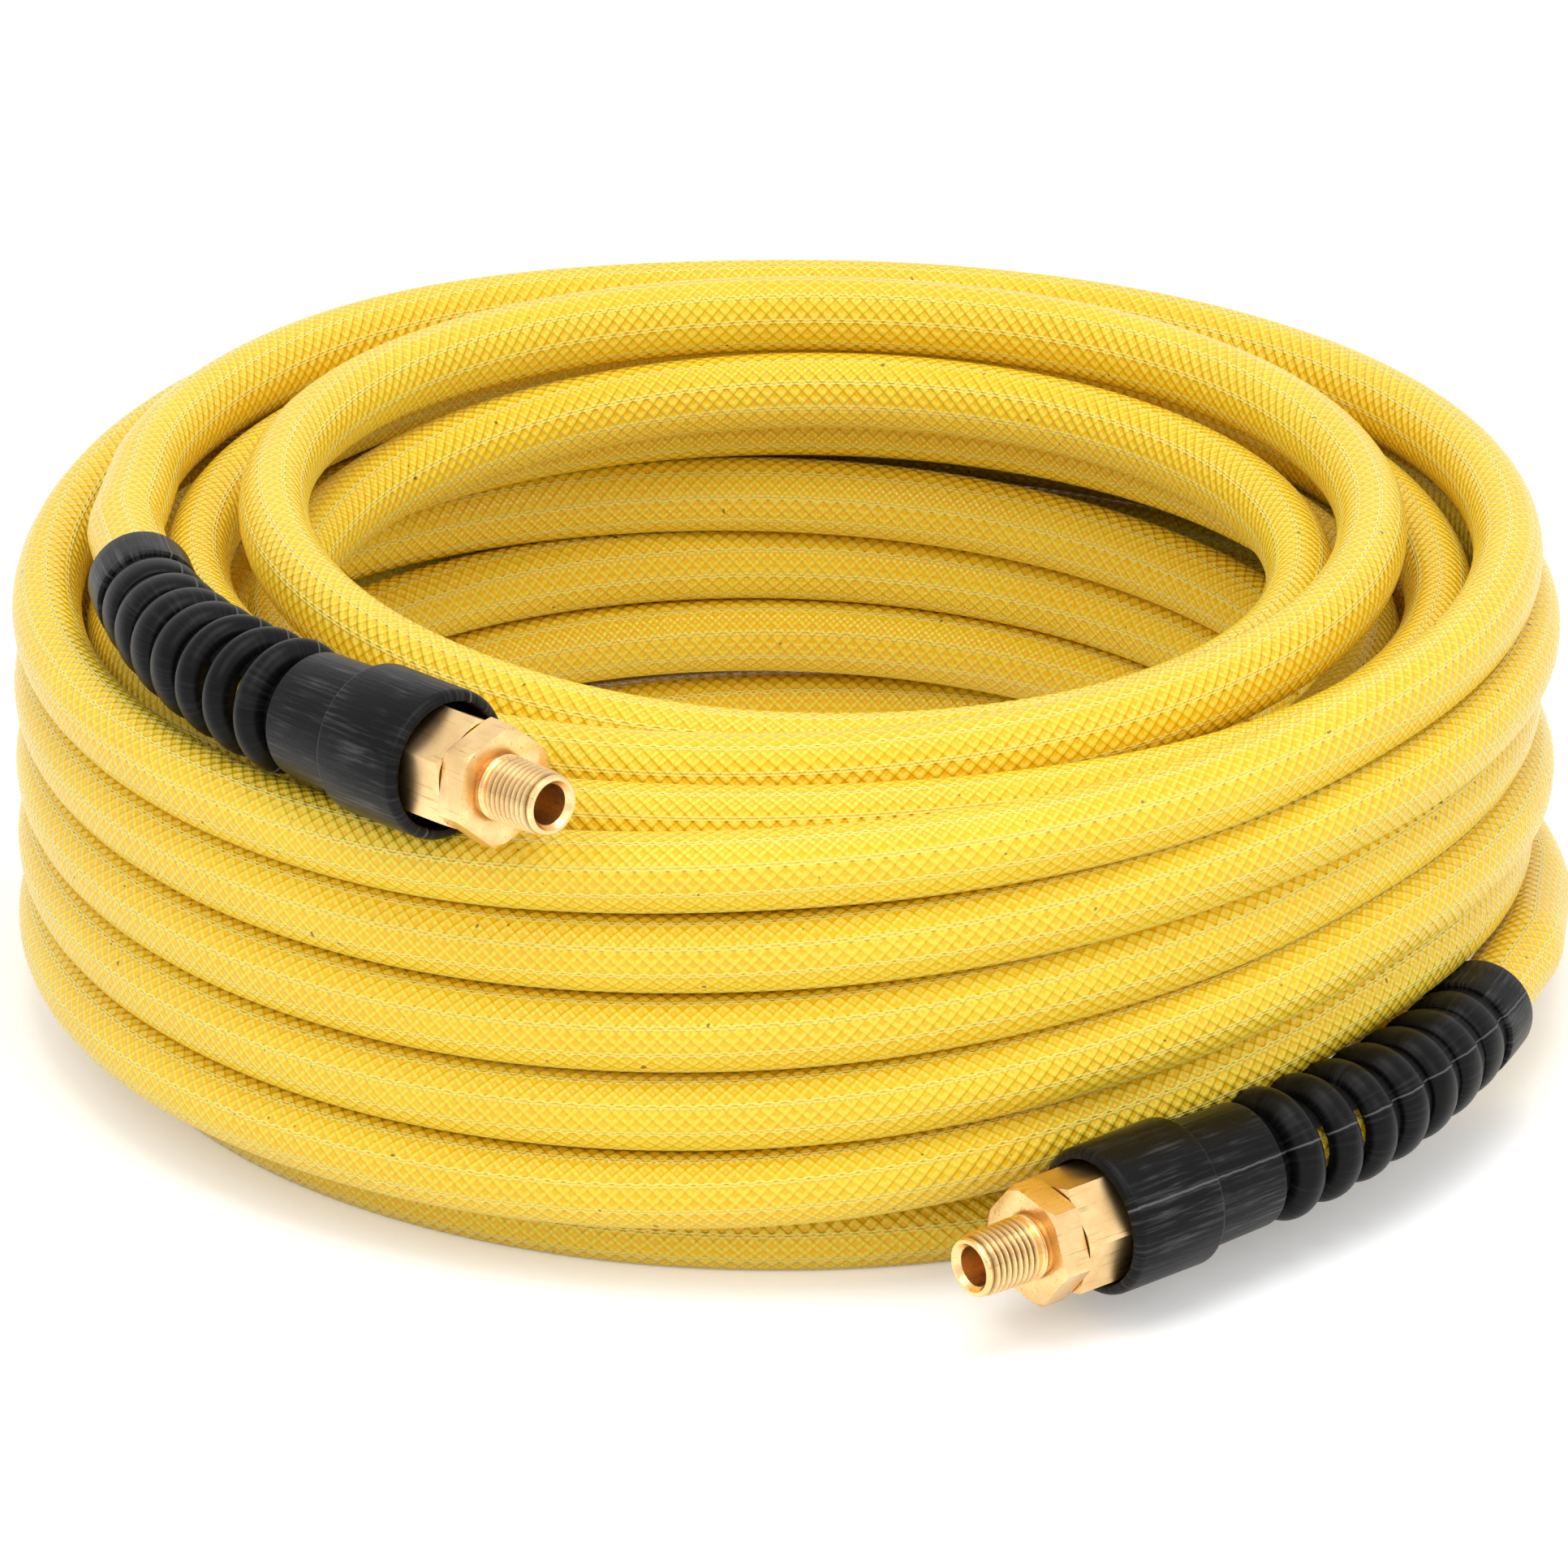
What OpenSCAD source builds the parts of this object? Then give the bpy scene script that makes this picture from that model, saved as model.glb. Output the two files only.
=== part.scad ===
// Coiled air hose: one long length of braided hose wound into a pile, with a
// rubber bend boot and a reusable threaded fitting on each end.
// Millimetres, +Z up. The origin is under the middle of the part, on the floor.

/* [Hose] */
// Outside diameter of the hose
hose_od = 16; // [15:0.1:16]
// Bore of the hose
hose_id = 9.5; // [8:0.1:10]
// Thickness of the inner liner
liner_wall = 1.55; // [1:0.05:1.6]
// Thickness of the braid layer
braid_wall = 0.4; // [0.3:0.05:0.6]

/* [Coil] */
// Width of the wound hose, which is pressed oval in the pile
wound_w = 13.8; // [12:0.1:13.8]
// Height of the wound hose
wound_h = 14.4; // [13:0.1:14.4]
// How much of the lowest turn is pressed flat on the floor
floor_cut = 0.5; // [0.3:0.1:1.6]
// Rings along each turn of the pile
rings_per_turn = 24; // [20:1:30]
// Length of hose that runs straight out of each boot
straight_run = 16; // [8:0.5:17]

/* [Fitting body] */
// Outside radius of the pipe thread where it meets the hexagon
pipe_r = 6.85; // [6.6:0.05:7]
// Length of the pipe thread
pipe_len = 14.5; // [12:0.5:16]
// Distance between the crests of the pipe thread
pipe_pitch = 1.41; // [1.2:0.01:1.6]
// Depth of the pipe thread
pipe_depth = 0.9; // [0.5:0.1:1.1]
// Taper of the pipe thread, as a fall in radius over its length
pipe_taper = 0.45; // [0.3:0.05:0.6]
// Radius of the bore in the pipe thread
pipe_bore_r = 4.2; // [3.6:0.1:4.6]
// Hexagon of the fitting body, across its flats
body_flats = 22.2; // [20:0.1:22.4]
// Thickness of the hexagon of the fitting body
body_hex_t = 6.5; // [5:0.5:8]
// Radius of the thread that the nut turns on
body_thread_r = 9.3; // [9:0.05:9.3]
// Length of the thread that the nut turns on
body_thread_len = 8.5; // [7:0.5:9]
// Radius of the stem inside the hose
stem_r = 4.35; // [3.8:0.05:4.4]
// Length of the stem inside the hose
stem_len = 22; // [14:0.5:24]
// Radius of the bore of the stem
stem_bore_r = 3.2; // [2.6:0.1:3.4]
// Turn of the upper body's hexagon about its axis, degrees
upper_body_turn = 12; // [0:1:59]
// Turn of the lower body's hexagon about its axis, degrees
lower_body_turn = 40; // [0:1:59]

/* [Nut] */
// Hexagon of the nut, across its flats
nut_flats = 22; // [20:0.1:22]
// Length of the nut's hexagon
nut_hex_len = 17.7; // [15:0.1:18]
// Length of the round part behind the nut's hexagon
nut_round_len = 10.5; // [9:0.5:12]
// Radius of the round part of the nut
nut_round_r = 11.1; // [10.8:0.05:11.1]
// Thickness of the lip at the back of the nut
nut_lip_t = 2.5; // [2:0.5:3]
// Corner chamfer of both hexagons
hex_chamfer = 0.9; // [0.5:0.1:1.2]

/* [Ferrule] */
// Length of the split ferrule
ferrule_len = 13.5; // [11:0.5:14]
// Wall of the split ferrule
ferrule_wall = 1.2; // [0.8:0.05:1.25]
// Width of the slit in the ferrule
ferrule_slit = 1.5; // [1:0.1:2.5]

/* [Boot] */
// Radius of the collar at the mouth of the boot
mouth_r = 15.5; // [15:0.1:15.6]
// Length of the mouth collar
mouth_len = 23; // [20:0.5:25]
// Radius of the sleeve behind the mouth collar
sleeve_r = 13.5; // [13:0.1:14]
// Length of the sleeve
sleeve_len = 18.5; // [15:0.5:20]
// Bevel of the edges of the boot's mouth and ribs
boot_edge = 1.4; // [0.8:0.1:2]
// Number of ribs
rib_count = 7; // [5:1:7]
// Distance from rib to rib
rib_pitch = 10.5; // [9.5:0.1:10.6]
// Width of a rib
rib_w = 8; // [6:0.5:8]
// Radius of the rib next to the sleeve
rib_front_r = 14; // [13:0.1:14]
// Radius of the rib next to the rear collar
rib_back_r = 11.2; // [11:0.1:12]
// Radius of the boot between its ribs
boot_core_r = 9.8; // [9.2:0.1:10]
// Radius of the rear collar
rear_r = 11; // [10:0.1:11]
// Length of the rear collar
rear_len = 14; // [10:0.5:14]
// Height of the slots between the first ribs
slot_h = 12; // [8:0.5:14]
// Width of the slots between the first ribs
slot_w = 1.4; // [1:0.1:1.6]

/* [Fits] */
// Clearance between the nut and what it turns on or in
running_gap = 0.4; // [0.3:0.05:0.45]
// Clearance between the boot and the hose that it sits on
boot_gap = 0.05; // [0.02:0.01:0.1]

/* [Hidden] */
$fn = 96;
fine = 0.01;
seam = 0.02;
hose_r = hose_od / 2;
liner_ri = hose_id / 2;
liner_ro = liner_ri + liner_wall;
braid_ro = liner_ro + braid_wall;
hex_ratio = cos(30);

// Places along an end, measured back from the front face of its hexagon.
nut_x = body_hex_t + 0.3;
nut_hex_end = nut_x + nut_hex_len;
nut_end = nut_hex_end + nut_round_len;
mouth_x = 16.5;
sleeve_x = mouth_x + mouth_len;
arc_x = sleeve_x + sleeve_len;
rib_start = 1.5;
arc_len = rib_start + rib_count * rib_pitch + rear_len;
hose_x = body_hex_t + body_thread_len + 1;
ferrule_x = nut_end - nut_lip_t - 1 - ferrule_len;
nut_bore_r = body_thread_r + running_gap - 0.1;
pocket_r = nut_flats / 2 / hex_ratio + running_gap;
pocket_end = nut_hex_end + 0.6;
round_pocket_r = nut_round_r + running_gap;
round_pocket_end = nut_end + 0.6;

// Each end: front face of its hexagon, heading back along the hose, droop
// towards the rear, bend radius of its boot, and the side that it bends to.
upper_face = [-55, -158, 113.3];
upper_heading = 132.5;
upper_droop = 3;
upper_bend_r = 154;
upper_side = -1;
lower_face = [48, -175.5, 21.3];
lower_heading = 39;
lower_droop = -0.8;
lower_bend_r = 165;
lower_side = 1;

// The middle of the pile from the middle of the whole part.
pile_x = -2.5;
pile_y = 13.5;

// The pile, row by row: turns from the left side, clockwise seen from above,
// then the radius and the height of the hose's centre line.
// Outer column, from the top down, with its shape repeated every turn.
floor_z = wound_h / 2 - floor_cut;
step = 17.1;
first_turn = [[0.125, 140.5, 102], [0.25, 150, 94.3], [0.5, 151, 100],
    [0.6, 151, 100.5], [0.66, 152.5, 98], [0.75, 153, 93.5],
    [0.84, 154, 88.2], [1, 154, 88]];
outer_side = [[155, 84, 85.2, 82.5], [151.5, 68, 70, 66.3],
    [154.5, 52, 55, 50.2], [150.5, 36, 39.6, 33.8]];
outer_column = [for (k = [0:3]) each [
    [1.125 + k, 154.5, 91.6 - step * k],
    [1.25 + k, 154, 77.6 - step * k],
    [1.5 + k, outer_side[k][0], outer_side[k][1]],
    [1.6 + k, outer_side[k][0], outer_side[k][2]],
    [1.66 + k, (outer_side[k][0] + 153) / 2, outer_side[k][3]],
    [1.75 + k, 153, 75.9 - 17.3 * k],
    [1.84 + k, 153.5, 71.5 - step * k],
    [2 + k, 154, 70.9 - step * k]]];
// Two turns up the middle column, and up the inside to the top.
rising = [[5.125, 146.5, 26], [5.25, 138.4, 26], [5.5, 137, 27.5],
    [5.75, 138, 31], [6, 138.5, 37.5], [6.125, 139, 43.2], [6.25, 139, 43],
    [6.5, 137, 50.5], [6.625, 137.5, 56], [6.75, 133, 62.5],
    [6.875, 124, 66.5], [7, 123.5, 70], [7.125, 124, 75], [7.25, 124.5, 76],
    [7.5, 122, 77.5], [7.75, 117, 80.5], [8, 105, 84]];
// The loose turns on top, which spiral out again.
top_turns = [[8.25, 109.5, 88.5], [8.5, 108, 92], [8.75, 108.5, 99],
    [9, 106.5, 107], [9.25, 118, 103], [9.5, 122.5, 104.5], [9.75, 123.5, 101],
    [10, 123, 93.5], [10.125, 127.5, 92], [10.25, 135, 89], [10.5, 137, 88]];
// Down the middle column and then the inner one.
falling = [[10.75, 138, 96], [11, 138.5, 82], [11.25, 139, 71.3],
    [11.5, 137, 71], [11.75, 138.5, 80], [11.875, 139, 71.5], [12, 138.5, 63],
    [12.125, 131.5, 60], [12.25, 121.5, 59], [12.5, 122, 52], [12.75, 123, 45.5],
    [13, 124, 44.5], [13.25, 124, 42], [13.5, 122, 35], [13.75, 123, 28.5],
    [14, 123.5, 27], [14.25, 122, 25.5], [14.5, 122, 18.5], [14.75, 123.5, 11]];
// Out along the floor and up into the lower boot.
floor_turn = [[15, 125, floor_z], [15.25, 125, floor_z], [15.375, 132, floor_z],
    [15.5, 137, floor_z], [15.75, 139, floor_z], [16, 140.5, floor_z],
    [16.125, 148, floor_z], [16.25, 154.5, floor_z], [16.375, 158, 12],
    [16.5, 159, 19.5]];
rows = concat([[0, 136.5, 104]], first_turn, outer_column, rising, top_turns,
    falling, floor_turn);
turns = rows[len(rows) - 1][0];

// Slope of the rows at row i, and the smooth curve through them.
function slope(i) =
    let (a = max(i - 1, 0), b = min(i + 1, len(rows) - 1))
    [rows[b][1] - rows[a][1], rows[b][2] - rows[a][2]] / (rows[b][0] - rows[a][0]);
function row_before(u, i = 0) =
    i + 2 >= len(rows) || rows[i + 1][0] > u ? i : row_before(u, i + 1);
function between(u, i) =
    let (a = rows[i], b = rows[i + 1], h = b[0] - a[0], s = (u - a[0]) / h)
    (2 * s ^ 3 - 3 * s ^ 2 + 1) * [a[1], a[2]] + (s ^ 3 - 2 * s ^ 2 + s) * h * slope(i)
    + (3 * s ^ 2 - 2 * s ^ 3) * [b[1], b[2]] + (s ^ 3 - s ^ 2) * h * slope(i + 1);
function radius_height(u) = between(u, row_before(u));
function turn_point(u) =
    let (q = radius_height(u), a = 180 - 360 * u)
    [q[0] * cos(a), q[0] * sin(a), q[1]];

// A point on an end's own centre line, s back from its hexagon, off to the
// side by its bend; and the same point and heading in the pile's frame.
function bend_angle(s, bend_r) = min(max(s - arc_x, 0), arc_len) / bend_r * 180 / PI;
function along(s, bend_r) =
    let (a = bend_angle(s, bend_r), rest = max(s - arc_x - arc_len, 0))
    [min(s, arc_x) + bend_r * sin(a) + rest * cos(a),
        bend_r * (1 - cos(a)) + rest * sin(a)];
function end_point(s, face, heading, droop, bend_r, side) =
    let (p = along(s, bend_r), x = p[0] * cos(droop), y = side * p[1])
    face + [x * cos(heading) - y * sin(heading), x * sin(heading) + y * cos(heading),
        -p[0] * sin(droop)];
hose_end = arc_x + arc_len + straight_run;
function upper_point(s) =
    end_point(s, upper_face, upper_heading, upper_droop, upper_bend_r, upper_side);
function lower_point(s) =
    end_point(s, lower_face, lower_heading, lower_droop, lower_bend_r, lower_side);

// The centre line of the wound hose, from the upper boot to the lower one.
line_up = 14;
wound = concat([upper_point(hose_end), upper_point(hose_end + line_up)],
    [for (k = [1:turns * rings_per_turn]) turn_point(k / rings_per_turn)],
    [lower_point(hose_end + line_up), lower_point(hose_end)]);
upper_lead = 2;
function unit(v) = v / norm(v);
function tangent(i) =
    i == 0 ? unit(wound[1] - wound[0]) :
    i == len(wound) - 1 ? unit(wound[i] - wound[i - 1]) :
    unit(unit(wound[i + 1] - wound[i]) + unit(wound[i] - wound[i - 1]));
sides = 6;
flat_r = wound_h / 2 / sin(60);
ring_shape = [for (k = [0:sides - 1])
    [wound_w / 2 * cos(k * 360 / sides), flat_r * sin(k * 360 / sides)]];
function ring(i) =
    let (t = tangent(i), across = unit(cross([0, 0, 1], t)), up = cross(t, across))
    [for (p = ring_shape)
        let (v = wound[i] + p[0] * across + p[1] * up) [v[0], v[1], max(v[2], 0)]];
rings = [for (i = [0:len(wound) - 1]) ring(i)];
tube_points = [for (r = rings) each r];
tube_faces = concat(
    [for (k = [1:sides - 2]) [0, k, k + 1]],
    [for (i = [0:len(wound) - 2]) for (k = [0:sides - 1])
        let (a = i * sides + k, b = i * sides + (k + 1) % sides)
        each [[a, a + sides, b], [b, a + sides, b + sides]]],
    [for (k = [1:sides - 2]) let (o = (len(wound) - 1) * sides) [o, o + k + 1, o + k]]);

// Least gap between turns: how far each ring is clear of the rings one or more
// turns on, which is negative where two would run into each other.
function flat_ring(i) =
    let (c = wound[i], out = unit([c[0], c[1]]))
    [for (v = rings[i]) [[v[0], v[1]] * out, v[2]]];
flats = [for (i = [0:len(wound) - 1]) flat_ring(i)];
function outward(p, q) = unit([q[1] - p[1], p[0] - q[0]]);
function clear_of(a, b) =
    max([for (k = [0:sides - 1])
        let (n = outward(a[k], a[(k + 1) % sides])) min([for (v = b) (v - a[k]) * n])]);
function ring_gap(a, b) = max(clear_of(a, b), clear_of(b, a));
last_turn_ring = len(wound) - 3;
gaps = [for (i = [upper_lead:last_turn_ring])
    for (j = [i + rings_per_turn:rings_per_turn:last_turn_ring])
    if (norm(wound[i] - wound[j]) < 2 * hose_od) ring_gap(flats[i], flats[j])];
echo(least_gap = min(gaps));
path_length = len(wound) < 3 ? 0 :
    [for (i = [1:len(wound) - 1]) norm(wound[i] - wound[i - 1])] *
    [for (i = [1:len(wound) - 1]) 1];
echo(hose_length = path_length + 2 * (hose_end - hose_x));

// Puts a piece of an end, modelled along +X, in its place.
module at_upper() {
    translate([pile_x, pile_y, 0])
        translate(upper_face)
            rotate([0, 0, upper_heading])
                rotate([0, upper_droop, 0])
                    children();
}

module at_lower() {
    translate([pile_x, pile_y, 0])
        translate(lower_face)
            rotate([0, 0, lower_heading])
                rotate([0, lower_droop, 0])
                    children();
}

// Turns a profile of [radius, place along X] about the X axis.
module lathe(profile) {
    rotate([0, 90, 0])
        rotate_extrude()
            polygon(profile);
}

// A straight tube along the X axis.
module tube(ri, ro, x, len) {
    rotate([0, 90, 0])
        rotate_extrude()
            translate([ri, x])
                square([ro - ri, len]);
}

// Sweeps a profile, drawn round the hose's centre, along the bend of a boot:
// from s on, over a length.
module on_sweep(s, len, bend_r) {
    degrees_per_mm = 180 / PI / bend_r;
    translate([arc_x, bend_r, 0])
        rotate([0, 0, s * degrees_per_mm - 90])
            rotate_extrude(angle = len * degrees_per_mm)
                translate([bend_r, 0])
                    children();
}

// A tube round the bend.
module bent_tube(ri, ro, s, len, bend_r) {
    on_sweep(s, len, bend_r)
        difference() {
            circle(ro);
            circle(ri);
        }
}

// One layer of the hose in an end. Its bent length is a hair thinner, so that
// the straight lengths end in a true edge.
module hose_layer(ri, ro, bend_r, side) {
    mirror([0, side < 0 ? 1 : 0, 0]) {
        tube(ri, ro, hose_x, arc_x - hose_x);
        bent_tube(ri + seam, ro - seam, 0, arc_len, bend_r);
        on_bend(arc_len, bend_r)
            tube(ri, ro, 0, straight_run);
    }
}

// Moves children to a place on the bend of a boot, s along it.
module on_bend(s, bend_r) {
    translate([arc_x, bend_r, 0])
        rotate([0, 0, s / bend_r * 180 / PI])
            translate([0, -bend_r, 0])
                children();
}

// A rib or the rear collar: a tube round the bend with a stepped edge.
module bend_ring(ri, r, s, len, bend_r) {
    bent_tube(ri, r - boot_edge / 2, s, len, bend_r);
    bent_tube(ri, r, s + boot_edge, len - 2 * boot_edge, bend_r);
}

module boot(bend_r, side) {
    bore_r = hose_r + boot_gap;
    buried_r = (bore_r + boot_core_r) / 2;
    rib_shrink = (rib_front_r - rib_back_r) / (rib_count - 1);
    rib_edge = (rib_pitch - rib_w) / 2;
    mirror([0, side < 0 ? 1 : 0, 0])
        difference() {
            union() {
                lathe([[pocket_r, mouth_x], [mouth_r - boot_edge, mouth_x],
                    [mouth_r, mouth_x + boot_edge], [mouth_r, sleeve_x - boot_edge],
                    [mouth_r - boot_edge, sleeve_x], [sleeve_r, sleeve_x], [sleeve_r, arc_x],
                    [bore_r, arc_x], [bore_r, round_pocket_end],
                    [round_pocket_r, round_pocket_end], [round_pocket_r, pocket_end],
                    [pocket_r, pocket_end]]);
                bent_tube(bore_r, boot_core_r, 0, arc_len, bend_r);
                for (i = [0:rib_count - 1])
                    bend_ring(buried_r, rib_front_r - rib_shrink * i,
                        rib_start + rib_edge + i * rib_pitch, rib_w, bend_r);
                bend_ring(buried_r, rear_r, arc_len - rear_len, rear_len, bend_r);
            }
            for (i = [1, 2])
                on_sweep(rib_start + i * rib_pitch - slot_w / 2, slot_w, bend_r)
                    translate([hose_r / 2, -slot_h / 2])
                        square([rib_front_r, slot_h]);
        }
}

// A hexagon about the X axis from x on, chamfered at its corners.
module hexagon(flats, x, t) {
    corner = flats / 2 / hex_ratio;
    intersection() {
        translate([x, 0, 0])
            rotate([0, 90, 0])
                cylinder(r = corner, h = t, $fn = 6);
        lathe([[0, x], [corner - hex_chamfer, x], [corner, x + hex_chamfer / 2],
            [corner, x + t - hex_chamfer / 2], [corner - hex_chamfer, x + t], [0, x + t]]);
    }
}

module nut(turn) {
    lip_r = hose_r + running_gap;
    lip_x = nut_end - nut_lip_t;
    difference() {
        union() {
            rotate([turn, 0, 0])
                hexagon(nut_flats, nut_x, nut_hex_len);
            translate([nut_hex_end - fine, 0, 0])
                rotate([0, 90, 0])
                    cylinder(r = nut_round_r, h = nut_round_len + fine);
        }
        lathe([[0, nut_x - 1], [nut_bore_r, nut_x - 1], [nut_bore_r, lip_x - 1],
            [lip_r, lip_x], [lip_r, nut_end + 1], [0, nut_end + 1]]);
    }
}

module ferrule() {
    end_x = ferrule_x + ferrule_len;
    difference() {
        lathe([[hose_r, ferrule_x], [hose_r + ferrule_wall / 2, ferrule_x],
            [hose_r + ferrule_wall, ferrule_x + 1], [hose_r + ferrule_wall, end_x - 1.5],
            [hose_r + ferrule_wall / 2, end_x], [hose_r, end_x]]);
        translate([ferrule_x - 1, -ferrule_slit / 2, 0])
            cube([ferrule_len + 2, ferrule_slit, hose_od]);
    }
}

// Half a side view of the pipe thread, crest by crest, and the rest of the
// body behind its hexagon.
crests = floor((pipe_len - 3) / pipe_pitch);
function pipe_at(x) = pipe_r + pipe_taper * x / pipe_len;
module fitting_body(turn) {
    stem_x = body_hex_t + body_thread_len;
    thread = [for (i = [0:crests - 1]) let (x = -1.5 - (i + 0.5) * pipe_pitch)
        each [[pipe_at(x) - pipe_depth, x + pipe_pitch / 2], [pipe_at(x), x]]];
    tip = -pipe_len;
    root = pipe_at(tip) - pipe_depth;
    rotate([turn, 0, 0])
        difference() {
            union() {
                hexagon(body_flats, 0, body_hex_t);
                lathe(concat([[0, 1], [pipe_r - pipe_depth, 1]], thread,
                    [[root, -1.5 - crests * pipe_pitch], [root, tip + 0.8], [root - 0.8, tip],
                        [0, tip]]));
                translate([body_hex_t - 1, 0, 0])
                    rotate([0, 90, 0])
                        cylinder(r = body_thread_r, h = body_thread_len + 1);
                translate([stem_x - 1, 0, 0])
                    rotate([0, 90, 0])
                        cylinder(r = stem_r, h = stem_len + 1);
            }
            translate([tip - 1, 0, 0])
                rotate([0, 90, 0])
                    cylinder(r = stem_bore_r, h = pipe_len + stem_x + stem_len + 2);
            translate([tip - 1, 0, 0])
                rotate([0, 90, 0])
                    cylinder(r = pipe_bore_r, h = pipe_len + 4);
        }
}

module hose_coil() {
    color("Orange")
        translate([pile_x, pile_y, 0])
            polyhedron(tube_points, tube_faces, convexity = 20);
}

module upper_hose_liner() {
    color("DimGray")
        at_upper()
            hose_layer(liner_ri, liner_ro, upper_bend_r, upper_side);
}

module upper_hose_braid() {
    color("Wheat")
        at_upper()
            hose_layer(liner_ro, braid_ro, upper_bend_r, upper_side);
}

module upper_hose_cover() {
    color("Orange")
        at_upper()
            hose_layer(braid_ro, hose_r, upper_bend_r, upper_side);
}

module upper_boot() {
    color("DarkSlateGray")
        at_upper()
            boot(upper_bend_r, upper_side);
}

module upper_nut() {
    color("Goldenrod")
        at_upper()
            nut(0);
}

module upper_ferrule() {
    color("Gold")
        at_upper()
            ferrule();
}

module upper_fitting_body() {
    color("Goldenrod")
        at_upper()
            fitting_body(upper_body_turn);
}

module lower_hose_liner() {
    color("DimGray")
        at_lower()
            hose_layer(liner_ri, liner_ro, lower_bend_r, lower_side);
}

module lower_hose_braid() {
    color("Wheat")
        at_lower()
            hose_layer(liner_ro, braid_ro, lower_bend_r, lower_side);
}

module lower_hose_cover() {
    color("Orange")
        at_lower()
            hose_layer(braid_ro, hose_r, lower_bend_r, lower_side);
}

module lower_boot() {
    color("DarkSlateGray")
        at_lower()
            boot(lower_bend_r, lower_side);
}

module lower_nut() {
    color("Goldenrod")
        at_lower()
            nut(20);
}

module lower_ferrule() {
    color("Gold")
        at_lower()
            ferrule();
}

module lower_fitting_body() {
    color("Goldenrod")
        at_lower()
            fitting_body(lower_body_turn);
}

hose_coil();
upper_hose_liner();
upper_hose_braid();
upper_hose_cover();
upper_boot();
upper_nut();
upper_ferrule();
upper_fitting_body();
lower_hose_liner();
lower_hose_braid();
lower_hose_cover();
lower_boot();
lower_nut();
lower_ferrule();
lower_fitting_body();
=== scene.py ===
"""A coiled air hose with a bend boot and a brass fitting on each end."""

import logging
import math
from bisect import bisect_right
from dataclasses import dataclass, field
from enum import Enum

import bpy
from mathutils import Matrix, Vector


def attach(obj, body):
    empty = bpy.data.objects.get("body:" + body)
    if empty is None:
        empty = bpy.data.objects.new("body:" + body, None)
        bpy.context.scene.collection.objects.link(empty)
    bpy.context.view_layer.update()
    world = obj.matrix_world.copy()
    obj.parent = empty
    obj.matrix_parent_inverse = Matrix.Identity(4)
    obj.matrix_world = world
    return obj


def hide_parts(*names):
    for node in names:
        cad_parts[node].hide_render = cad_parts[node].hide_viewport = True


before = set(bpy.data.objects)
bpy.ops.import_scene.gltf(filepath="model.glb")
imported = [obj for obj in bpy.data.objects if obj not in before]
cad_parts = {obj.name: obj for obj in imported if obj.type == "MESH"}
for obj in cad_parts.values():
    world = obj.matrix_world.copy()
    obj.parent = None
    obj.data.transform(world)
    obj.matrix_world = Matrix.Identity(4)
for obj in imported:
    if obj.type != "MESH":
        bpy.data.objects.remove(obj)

log = logging.getLogger("air_hose")

Colour = tuple[float, float, float, float]
Outline = list[tuple[float, float]]
Pair = tuple[float, float]
Row = tuple[float, ...]
Piece = bpy.types.Object
Material = bpy.types.Material
Socket = bpy.types.NodeSocket

HOSE_BODY = "hose"
# Name of the value that tells how deep in the pipe thread each vertex lies; the brass darkens
# with it as painted shade in the thread roots.
DEPTH_MARK = "thread_depth"
# How far a cutting tool reaches past the face that it cuts.
CUT_CLEAR = 0.001
# Vertices closer than this are one.
SAME_PLACE = 0.000002


# ---------------------------------------------------------------- the route


class Bend(Enum):
    """The side that an end's boot bends to, seen from its fitting."""

    LEFT = 1
    RIGHT = -1


@dataclass(frozen=True)
class EndSizes:
    """Lengths and radii that both ends share, in metres.

    Distances run back from the front face of the fitting's hexagon.
    """

    hose_start: float = 0.016
    mouth: float = 0.0165
    mouth_length: float = 0.023
    sleeve_length: float = 0.0185
    rib_start: float = 0.0015
    rib_count: int = 7
    rib_pitch: float = 0.0105
    rib_width: float = 0.008
    rear_length: float = 0.014
    straight_run: float = 0.016
    line_up: float = 0.014

    @property
    def sleeve(self) -> float:
        """Where the sleeve starts."""
        return self.mouth + self.mouth_length

    @property
    def bend(self) -> float:
        """Where the bend starts."""
        return self.sleeve + self.sleeve_length

    @property
    def bend_length(self) -> float:
        """Length of the boot's bend along the hose."""
        return self.rib_start + self.rib_count * self.rib_pitch + self.rear_length

    @property
    def rear(self) -> float:
        """Where the boot ends."""
        return self.bend + self.bend_length

    @property
    def hose_end(self) -> float:
        """Where the pile's own stretch of hose starts."""
        return self.rear + self.straight_run


SIZES = EndSizes()


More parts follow.
